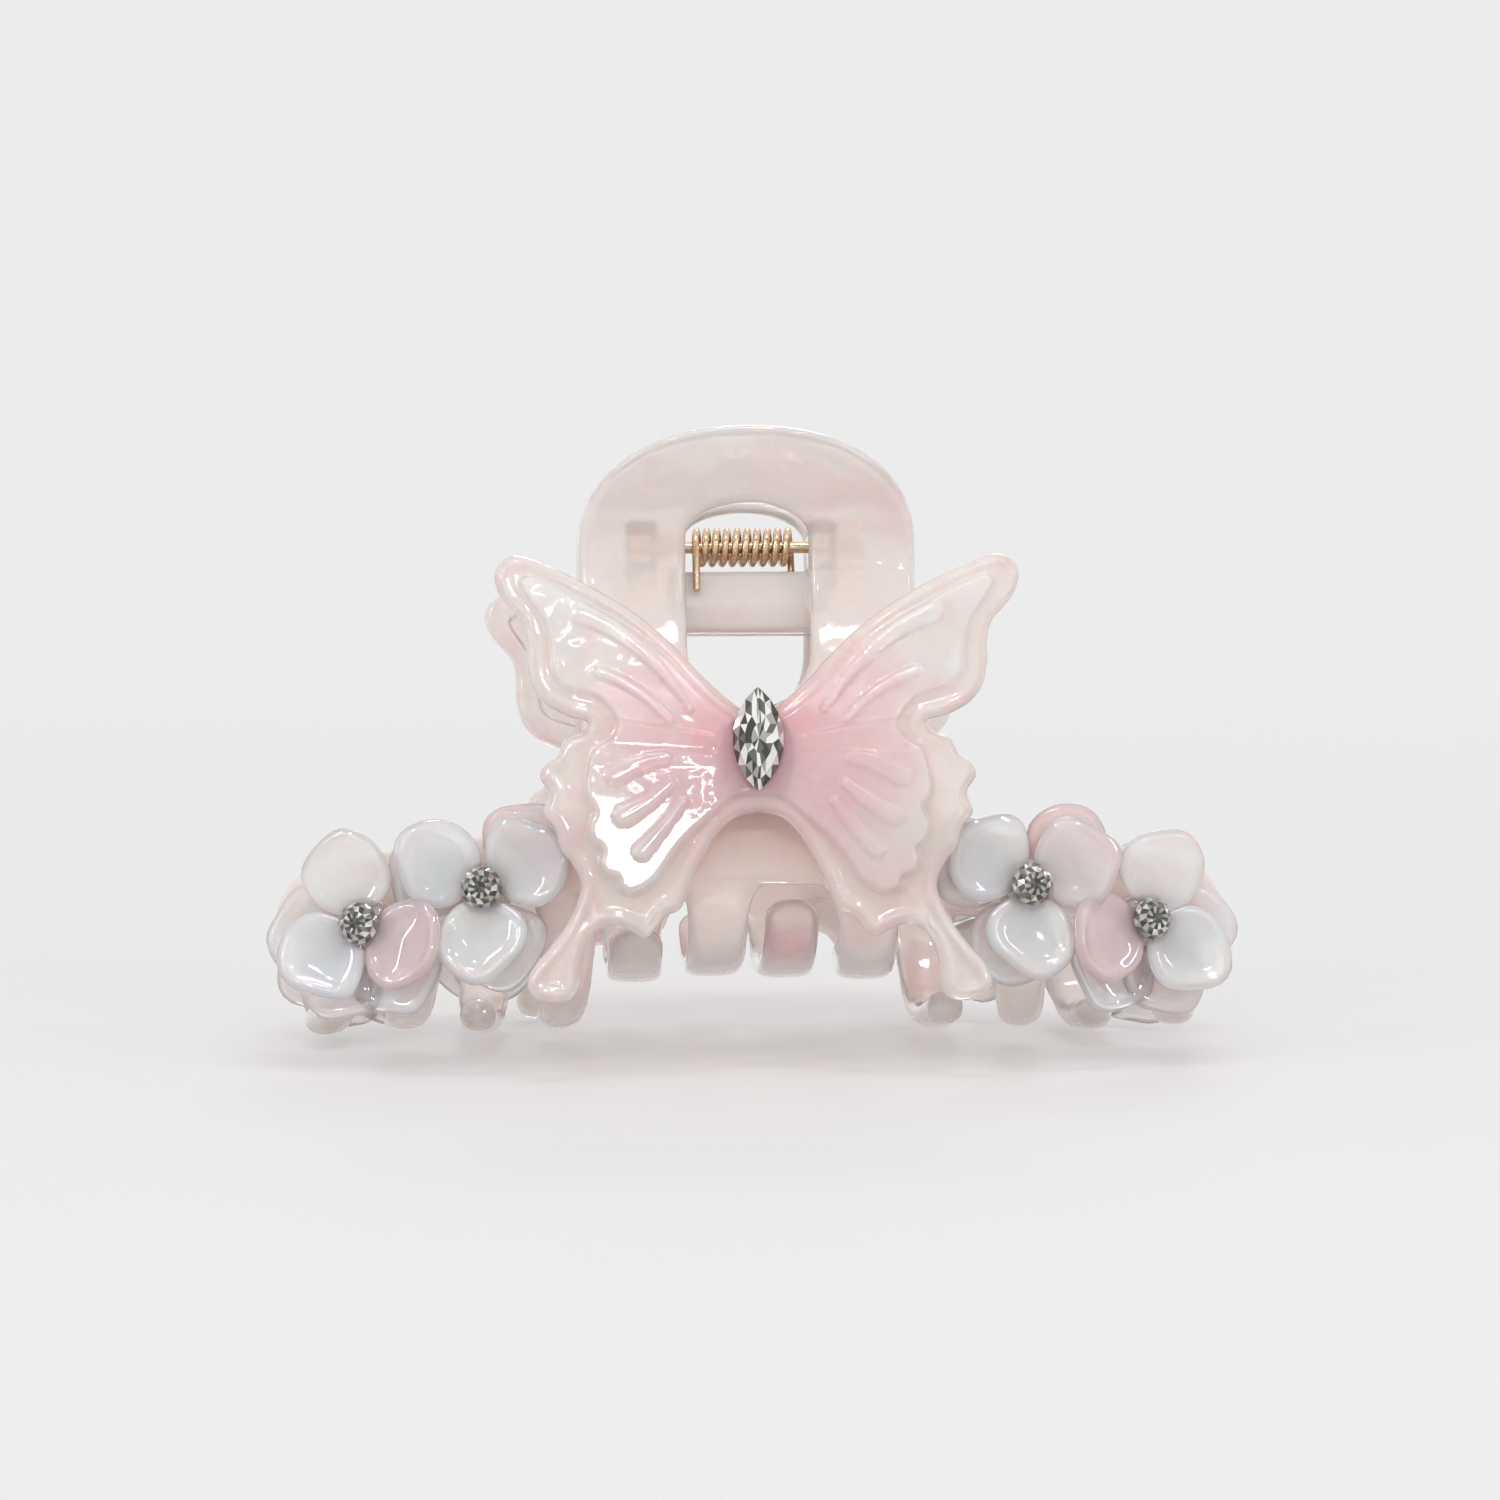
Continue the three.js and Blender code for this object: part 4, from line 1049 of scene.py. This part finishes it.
def jaw_acetate(colours):
    """Greyish pearl at the tab, turning to peach at the band, with pink clouds, teeth painted paler towards
    their ends as painted light, and the lugs' painted shade where they stand behind the tab.
    """
    shader = Shader("jaw acetate")
    mould = shader.mould()
    height = shader.add("SeparateXYZ", {"Vector": mould}).outputs["Z"]
    wander = shader.maths("MULTIPLY", shader.noise(mould, 0.12, 2.0, 1.0), 14.0)
    level = shader.span(shader.maths("ADD", height, wander), 8.0, -24.0)
    base = shader.mix(level, tuple(colours.tab), tuple(colours.band))
    blot = shader.span(shader.noise(mould, 0.09, 1.0, 0.5), 0.55, 0.72)
    pinked = shader.mix(shader.maths("MULTIPLY", blot, 0.22), base, tuple(colours.heart))
    # painted light: paler lower ends of the teeth
    rosy = shader.mix(shader.span(height, -38.0, -46.0), pinked, TOOTH_PAINTED_LIGHT)
    for place, reach, strength in ROSE_SPOTS:
        away = shader.add("VectorMath", {0: mould, 1: place}, operation="DISTANCE").outputs["Value"]
        rose = shader.span(away, reach, 0.3 * reach)
        rosy = shader.mix(shader.maths("MULTIPLY", rose, strength), rosy, tuple(colours.heart))
    # painted shade: the lugs behind the tab, tinted darker and peachier as if seen through the acetate
    lug_shade = shader.maths("MULTIPLY", shader.attribute("tone"), 0.55)
    return finish_acetate(shader, shader.mix(lug_shade, rosy, tuple(colours.band)), clearness=0.5)


def butterfly_acetate(colours):
    """Pink at the stone, fading to pearl at the tips of the wings, with a peach rim band that is partly its
    own colour and partly painted shade at the wings' edges.
    """
    shader = Shader("butterfly pearl")
    mould = shader.mould()
    away = shader.vector("ADD", mould, (0, BUTTERFLY_REACH, -BUTTERFLY_HEIGHT))
    reach = shader.length(shader.vector("MULTIPLY", away, (1.0, 0.0, 1.15)))
    wander = shader.maths("MULTIPLY", shader.noise(mould, 0.14, 2.0, 1.2), 10.0)
    share = shader.span(shader.maths("ADD", reach, wander), 5.0, 34.0)
    stops = ((0.08, tuple(colours.heart)), (0.42, tuple(colours.wing)), (0.8, tuple(colours.wing_tip)))
    # rim band: its own peach colour, partly painted shade at the wings' edges
    edge = shader.maths("MULTIPLY", shader.attribute("tone"), 0.5)
    rim_and_edge_shade = shader.mix(edge, shader.ramp(share, stops), tuple(colours.rim))
    blot = shader.maths("MULTIPLY", shader.span(shader.noise(mould, 0.13, 1.0, 0.8), 0.52, 0.7), 0.4)
    return finish_acetate(shader, shader.mix(blot, rim_and_edge_shade, tuple(colours.heart)))


def petal_acetate(name, root, outside, edge):
    """Petals whose colour goes from root to edge, each with a tone of its own."""
    shader = Shader(name)
    reach = shader.length(shader.vector("MULTIPLY", shader.mould(), (1.0, 0.0, 1.0)))
    share = shader.span(reach, 2.0, 11.0)
    base = shader.ramp(share, ((0.06, root), (0.34, outside), (0.66, outside), (0.95, edge)))
    tint = shader.ramp(shader.attribute("tone"), TONE_STOPS)
    return finish_acetate(shader, shader.mix(0.9, base, tint, "MULTIPLY"),
                          pearliness=0.6, film=540.0, waviness=0.12, clearness=0.62)


def crystal_foil(name):
    """Foil-backed crystal: each facet mirrors, with painted reflections that make some dark and some bright,
    and faint painted warm and cool glints.
    """
    shader = Shader(name)
    # painted reflections: each facet's dark or bright base colour
    shade = shader.ramp(shader.attribute("facet"), (
        (0.0, (0.02, 0.02, 0.018)), (0.3, (0.13, 0.125, 0.11)), (0.65, (0.42, 0.41, 0.37)),
        (1.0, (0.90, 0.90, 0.88))))
    mould = shader.mould()
    # painted glints: warm and cool tints of the reflections, by noise
    fleck = shader.noise(mould, 3.5, 1.0)
    glint = shader.ramp(fleck, ((0.35, (0.92, 0.97, 1.0)), (0.65, (1.0, 0.94, 0.86))))
    shader.link(shader.mix(0.7, shade, glint, "MULTIPLY"), shader.surface.inputs["Base Color"])
    shader.set(Metallic=0.85, Roughness=0.06, Coat_Weight=1.0, Coat_Roughness=0.01, Coat_IOR=1.6)
    return shader.material


def plated_wire(name, colour):
    """Rose-gold plating with fine drawing marks."""
    shader = Shader(name)
    place = shader.add("TexCoord").outputs["Object"]
    marks = shader.noise(place, 2600.0, 3.0)
    tint = shader.mix(shader.maths("MULTIPLY", marks, 0.5), tuple(colour), (0.86, 0.70, 0.52))
    shader.link(tint, shader.surface.inputs["Base Color"])
    shader.link(shader.span(marks, 0.0, 1.0, 0.16, 0.34), shader.surface.inputs["Roughness"])
    shader.set(Metallic=1.0)
    shader.bump(marks, 0.25, 0.00005)
    return shader.material


# ---- operators ----
class HAIRCLIP_OT_jaws(bpy.types.Operator):
    """Mould the front and the rear jaw, with their tabs, lugs, crossbars and teeth"""
    bl_idname = "hairclip.jaws"
    bl_label = "Mould the jaws"

    def execute(self, context):
        master = jaw_mesh(context.scene.hair_clip_sizes)
        material = jaw_acetate(context.scene.hair_clip_colours)
        for side in SIDES:
            finish_piece(master.copy(), f"{side}_jaw_moulding", f"{side}_side", material,
                         [f"{side}_jaw"], jaw_matrix(side))
        bpy.data.meshes.remove(master)
        return {"FINISHED"}


class HAIRCLIP_OT_butterflies(bpy.types.Operator):
    """Mould the butterfly of each jaw, with its raised fields, veins and tails"""
    bl_idname = "hairclip.butterflies"
    bl_label = "Mould the butterflies"

    def execute(self, context):
        master = butterfly_mesh(context.scene.hair_clip_sizes)
        material = butterfly_acetate(context.scene.hair_clip_colours)
        for side in SIDES:
            finish_piece(master.copy(), f"{side}_butterfly_moulding", f"{side}_side",
                         material, [f"{side}_butterfly"], jaw_matrix(side))
        bpy.data.meshes.remove(master)
        return {"FINISHED"}


class HAIRCLIP_OT_flowers(bpy.types.Operator):
    """Make the two whorls of petals of every flower"""
    bl_idname = "hairclip.flowers"
    bl_label = "Make the flowers"

    def execute(self, context):
        sizes, colours = context.scene.hair_clip_sizes, context.scene.hair_clip_colours
        white = petal_acetate("petal pearl", tuple(colours.blush), tuple(colours.petal), tuple(colours.blush))
        blush = petal_acetate("petal blush", tuple(colours.blush), tuple(colours.blush), tuple(colours.petal))
        tree = whorl_tree()
        upper_front = CORE_THICKNESS + GLUE_GAP
        upper = add_object("upper_petal", mesh_of("upper_petal", *petal_mesh(
            sizes, reach=5.6, front=upper_front, lift=0.9, tilt=0.14, cup=1.0, bead=0.38)))
        lower = add_object("lower_petal", mesh_of("lower_petal", *petal_mesh(
            sizes, reach=6.6, front=0.0, lift=1.2, tilt=0.0, cup=0.6, bead=0.3)))
        for number, (name, x, z, upper_petals, lower_petals) in enumerate(FLOWERS):
            whorls = (
                ("lower_petals", lower, lower_petals, 0.0, blush, "petal_blush"),
                ("upper_petals", upper, upper_petals, upper_front, white, "petal_pearl"),
            )
            for level, (whorl, petal, petals, front, material, slot) in enumerate(whorls):
                master = whorl_mesh(tree, petal, petals, front, material, 10 * number + level + 1)
                for side in SIDES:
                    finish_piece(master.copy(), f"{side}_{name}_{whorl}_shaped", f"{side}_side",
                                 material, [f"{side}_{name}_{whorl}"], jaw_matrix(side) @ flower_matrix(x, z))
                bpy.data.meshes.remove(master)
        for petal in (upper, lower):
            bpy.data.objects.remove(petal)
        return {"FINISHED"}


class HAIRCLIP_OT_stones(bpy.types.Operator):
    """Cut the navette of each butterfly and the round stone of each flower"""
    bl_idname = "hairclip.stones"
    bl_label = "Cut the stones"

    def execute(self, context):
        long_cut, round_cut = crystal_foil("navette crystal"), crystal_foil("round crystal")
        stone_front = 2 * (CORE_THICKNESS + GLUE_GAP)
        for side in SIDES:
            seat = Matrix.Translation((0, float(wing_face(0)) - GLUE_GAP, BUTTERFLY_HEIGHT))
            finish_piece(navette_mesh(5), f"{side}_navette_cut", f"{side}_side", long_cut,
                         [f"{side}_butterfly_stone"], jaw_matrix(side) @ seat)
            for number, (name, x, z, _, _) in enumerate(FLOWERS):
                seat = flower_matrix(x, z) @ Matrix.Translation((0, -stone_front, 0))
                finish_piece(round_stone_mesh(20 + number), f"{side}_{name}_stone_cut", f"{side}_side",
                             round_cut, [f"{side}_{name}_rhinestone"],
                             jaw_matrix(side) @ seat)
        return {"FINISHED"}


class HAIRCLIP_OT_spring(bpy.types.Operator):
    """Wind the torsion spring, which twists between the two jaws"""
    bl_idname = "hairclip.spring"
    bl_label = "Wind the spring"

    def execute(self, context):
        material = plated_wire("spring wire", context.scene.hair_clip_colours.wire)
        path = np.array([jaw_matrix("front") @ Vector(p) for p in spring_path()])
        mesh = swept_mesh("spring", path, context.scene.hair_clip_sizes.wire / 2, material)
        piece = add_object("torsion_spring_wound", mesh)
        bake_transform(piece)
        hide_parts("torsion_spring")
        return {"FINISHED"}


class HAIRCLIP_OT_pin(bpy.types.Operator):
    """Turn the hinge pin"""
    bl_idname = "hairclip.pin"
    bl_label = "Turn the pin"

    def execute(self, context):
        material = plated_wire("pin wire", context.scene.hair_clip_colours.wire)
        finish_piece(pin_mesh(), "hinge_pin_turned", "rear_side", material, ["hinge_pin"],
                     jaw_matrix("front"))
        return {"FINISHED"}


class HAIRCLIP_OT_stage(bpy.types.Operator):
    """Set the camera, the soft lights and the pale floor"""
    bl_idname = "hairclip.stage"
    bl_label = "Set the stage"

    def execute(self, context):
        set_camera(context.scene)
        set_floor()
        set_lights(context.scene)
        return {"FINISHED"}


# ---- stage ----
PALE = 0.838  # the pale grey of the floor and the air behind it, linear
ROOM_LIGHT = 0.97  # light from all round, which the camera itself does not see
ROOM_TINT = (0.98, 0.98, 1.0, 1)
FLOOR_GLOW = 0.45  # share of the floor's brightness that no shadow takes away
FLOOR_COLOUR = (0.59, 0.586, 0.582)
FLOOR_FLECK = (0.57, 0.565, 0.56)
# painted light: the pink pool on the floor under the clip
FLOOR_PAINTED_PINK_LIGHT = (0.665, 0.60, 0.59)  # the light that comes through the acetate
FLOOR_RADII = (0.15, 0.4, 1.0, 4.0, 40.0)
FLOOR_SPOKES = 96
CAMERA_AZIMUTH = -2.9
CAMERA_ELEVATION = 6.2
CAMERA_LENS = 208.7
CAMERA_SHIFT = (-0.00103, -0.00138, 0)  # from the middle stone to the aim, across and up the view, in metres
LIT_PLACE = (0, 0, 0.035)
# name, angle to the right and upwards in degrees, distance and size in metres, radiance
SOFTBOXES = (
    ("front window", 12.6, 17.2, 1.25, (0.09, 0.028), 26.0),
    ("left strip", -58.0, 24.0, 0.9, (0.035, 0.50), 26.0),
    ("right strip", 54.0, 30.0, 0.9, (0.035, 0.40), 24.0),
    ("overhead", 0.0, 72.0, 0.8, (0.30, 0.10), 11.0),
    ("back window", 170.0, 38.0, 0.9, (0.30, 0.12), 8.0),
    ("left glint", -26.0, 38.0, 1.0, (0.07, 0.05), 60.0),
    ("right glint", 24.0, 46.0, 1.0, (0.06, 0.05), 60.0),
    ("low glint", -12.0, 27.0, 1.1, (0.04, 0.04), 60.0),
)


def direction(azimuth, elevation):
    """The way from the clip to a place at these angles to the right and upwards, in degrees."""
    across, up = math.radians(azimuth), math.radians(elevation)
    return Vector((math.sin(across) * math.cos(up), -math.cos(across) * math.cos(up), math.sin(up)))


def set_camera(scene):
    """A long lens from the front, a little to the left and above."""
    stone_front = float(wing_face(0)) - GLUE_GAP - NAVETTE_HEIGHT
    stone = jaw_matrix("front") @ Vector((0, stone_front, BUTTERFLY_HEIGHT))
    away = direction(CAMERA_AZIMUTH, CAMERA_ELEVATION)
    turn = (-away).to_track_quat("-Z", "Y").to_matrix()
    aim = stone + turn @ Vector(CAMERA_SHIFT)
    data = bpy.data.cameras.new("camera")
    data.lens = CAMERA_LENS
    data.sensor_width = 36
    data.clip_start = 0.05
    data.clip_end = 100
    camera = bpy.data.objects.new("camera", data)
    scene.collection.objects.link(camera)
    camera.matrix_world = Matrix.Translation(aim + away) @ turn.to_4x4()
    scene.camera = camera


def floor_mesh():
    """A flat disc of rings round the origin."""
    turn = np.linspace(0, 2 * math.pi, FLOOR_SPOKES, endpoint=False)
    points = np.vstack([[(0, 0, 0)], *[np.column_stack([r * np.cos(turn), r * np.sin(turn),
                                                        np.zeros(FLOOR_SPOKES)]) for r in FLOOR_RADII]])
    faces = [(0, 1 + j, 1 + (j + 1) % FLOOR_SPOKES) for j in range(FLOOR_SPOKES)]
    for i in range(len(FLOOR_RADII) - 1):
        for j in range(FLOOR_SPOKES):
            a, b = 1 + i * FLOOR_SPOKES + j, 1 + i * FLOOR_SPOKES + (j + 1) % FLOOR_SPOKES
            faces.append((a, a + FLOOR_SPOKES, b + FLOOR_SPOKES, b))
    mesh = bpy.data.meshes.new("floor")
    mesh.from_pydata(points.tolist(), [], faces)
    return mesh


def set_floor():
    """A wide round floor that takes the shadow near the clip, has a painted pink light under it, and melts
    into the air further out.
    """
    shader = Shader("pale floor")
    place = shader.add("TexCoord").outputs["Object"]
    reach = shader.length(place)
    grain = shader.noise(place, 900.0, 3.0)
    # painted light: pink near the middle of the floor, under the clip
    floor_and_pink_light = shader.mix(shader.span(reach, 0.085, 0.03), FLOOR_COLOUR, FLOOR_PAINTED_PINK_LIGHT)
    tint = shader.mix(shader.maths("MULTIPLY", grain, 0.04), floor_and_pink_light, FLOOR_FLECK)
    shader.link(tint, shader.surface.inputs["Base Color"])
    shader.set(Roughness=0.6, Specular_IOR_Level=0.2)
    glow = shader.add("Emission", {"Color": (PALE, PALE, PALE, 1), "Strength": 1.0})
    far = shader.span(reach, 0.10, 0.45, FLOOR_GLOW)
    blend = shader.add("MixShader", {0: far, 1: shader.surface.outputs[0], 2: glow.outputs[0]})
    shader.link(blend.outputs[0], shader.nodes["Material Output"].inputs["Surface"])
    mesh = floor_mesh()
    mesh.materials.append(shader.material)
    add_object("floor", mesh)


def area_light(scene, name, azimuth, elevation, distance, size, radiance):
    """A softbox that faces the clip from the given angles, in degrees, as bright as its radiance."""
    away = direction(azimuth, elevation)
    data = bpy.data.lights.new(name, "AREA")
    data.shape = "RECTANGLE"
    data.size, data.size_y = size
    data.energy = radiance * math.pi * size[0] * size[1]
    light = bpy.data.objects.new(name, data)
    scene.collection.objects.link(light)
    light.location = Vector(LIT_PLACE) + away * distance
    light.rotation_mode = "QUATERNION"
    light.rotation_quaternion = (-away).to_track_quat("-Z", "Y")


def set_lights(scene):
    """A pale room all round, and the softboxes."""
    world = bpy.data.worlds.new("pale air")
    world.use_nodes = True
    nodes, link = world.node_tree.nodes, world.node_tree.links.new
    seen = nodes["Background"]
    seen.inputs["Color"].default_value = (PALE, PALE, PALE, 1)
    room = nodes.new("ShaderNodeBackground")
    room.inputs["Color"].default_value = ROOM_TINT
    room.inputs["Strength"].default_value = ROOM_LIGHT
    path = nodes.new("ShaderNodeLightPath")
    mix = nodes.new("ShaderNodeMixShader")
    link(path.outputs["Is Camera Ray"], mix.inputs[0])
    link(room.outputs[0], mix.inputs[1])
    link(seen.outputs[0], mix.inputs[2])
    link(mix.outputs[0], nodes["World Output"].inputs["Surface"])
    scene.world = world
    scene.view_settings.view_transform = "Standard"
    for softbox in SOFTBOXES:
        area_light(scene, *softbox)


# ---- panel and registration ----
class HAIRCLIP_PT_panel(bpy.types.Panel):
    bl_idname = "HAIRCLIP_PT_panel"
    bl_label = "Hair Clip"
    bl_space_type = "VIEW_3D"
    bl_region_type = "UI"
    bl_category = "Hair Clip"

    def draw(self, context):
        for step in STEPS:
            self.layout.operator(step.bl_idname)
        for group in (context.scene.hair_clip_sizes, context.scene.hair_clip_colours):
            for name in group.__annotations__:
                self.layout.prop(group, name)


STEPS = (HAIRCLIP_OT_jaws, HAIRCLIP_OT_butterflies, HAIRCLIP_OT_flowers, HAIRCLIP_OT_stones,
         HAIRCLIP_OT_spring, HAIRCLIP_OT_pin, HAIRCLIP_OT_stage)
CLASSES = (HairClipSizes, HairClipColours, *STEPS, HAIRCLIP_PT_panel)


def register():
    for each in CLASSES:
        bpy.utils.register_class(each)
    bpy.types.Scene.hair_clip_sizes = PointerProperty(type=HairClipSizes)
    bpy.types.Scene.hair_clip_colours = PointerProperty(type=HairClipColours)


def unregister():
    del bpy.types.Scene.hair_clip_colours
    del bpy.types.Scene.hair_clip_sizes
    for each in reversed(CLASSES):
        bpy.utils.unregister_class(each)


def main():
    register()
    for name in ("Cube", "Light", "Camera"):
        if name in bpy.data.objects:
            bpy.data.objects.remove(bpy.data.objects[name])
    bpy.ops.hairclip.jaws()
    bpy.ops.hairclip.butterflies()
    bpy.ops.hairclip.flowers()
    bpy.ops.hairclip.stones()
    bpy.ops.hairclip.spring()
    bpy.ops.hairclip.pin()
    bpy.ops.hairclip.stage()


if __name__ == "__main__":
    main()
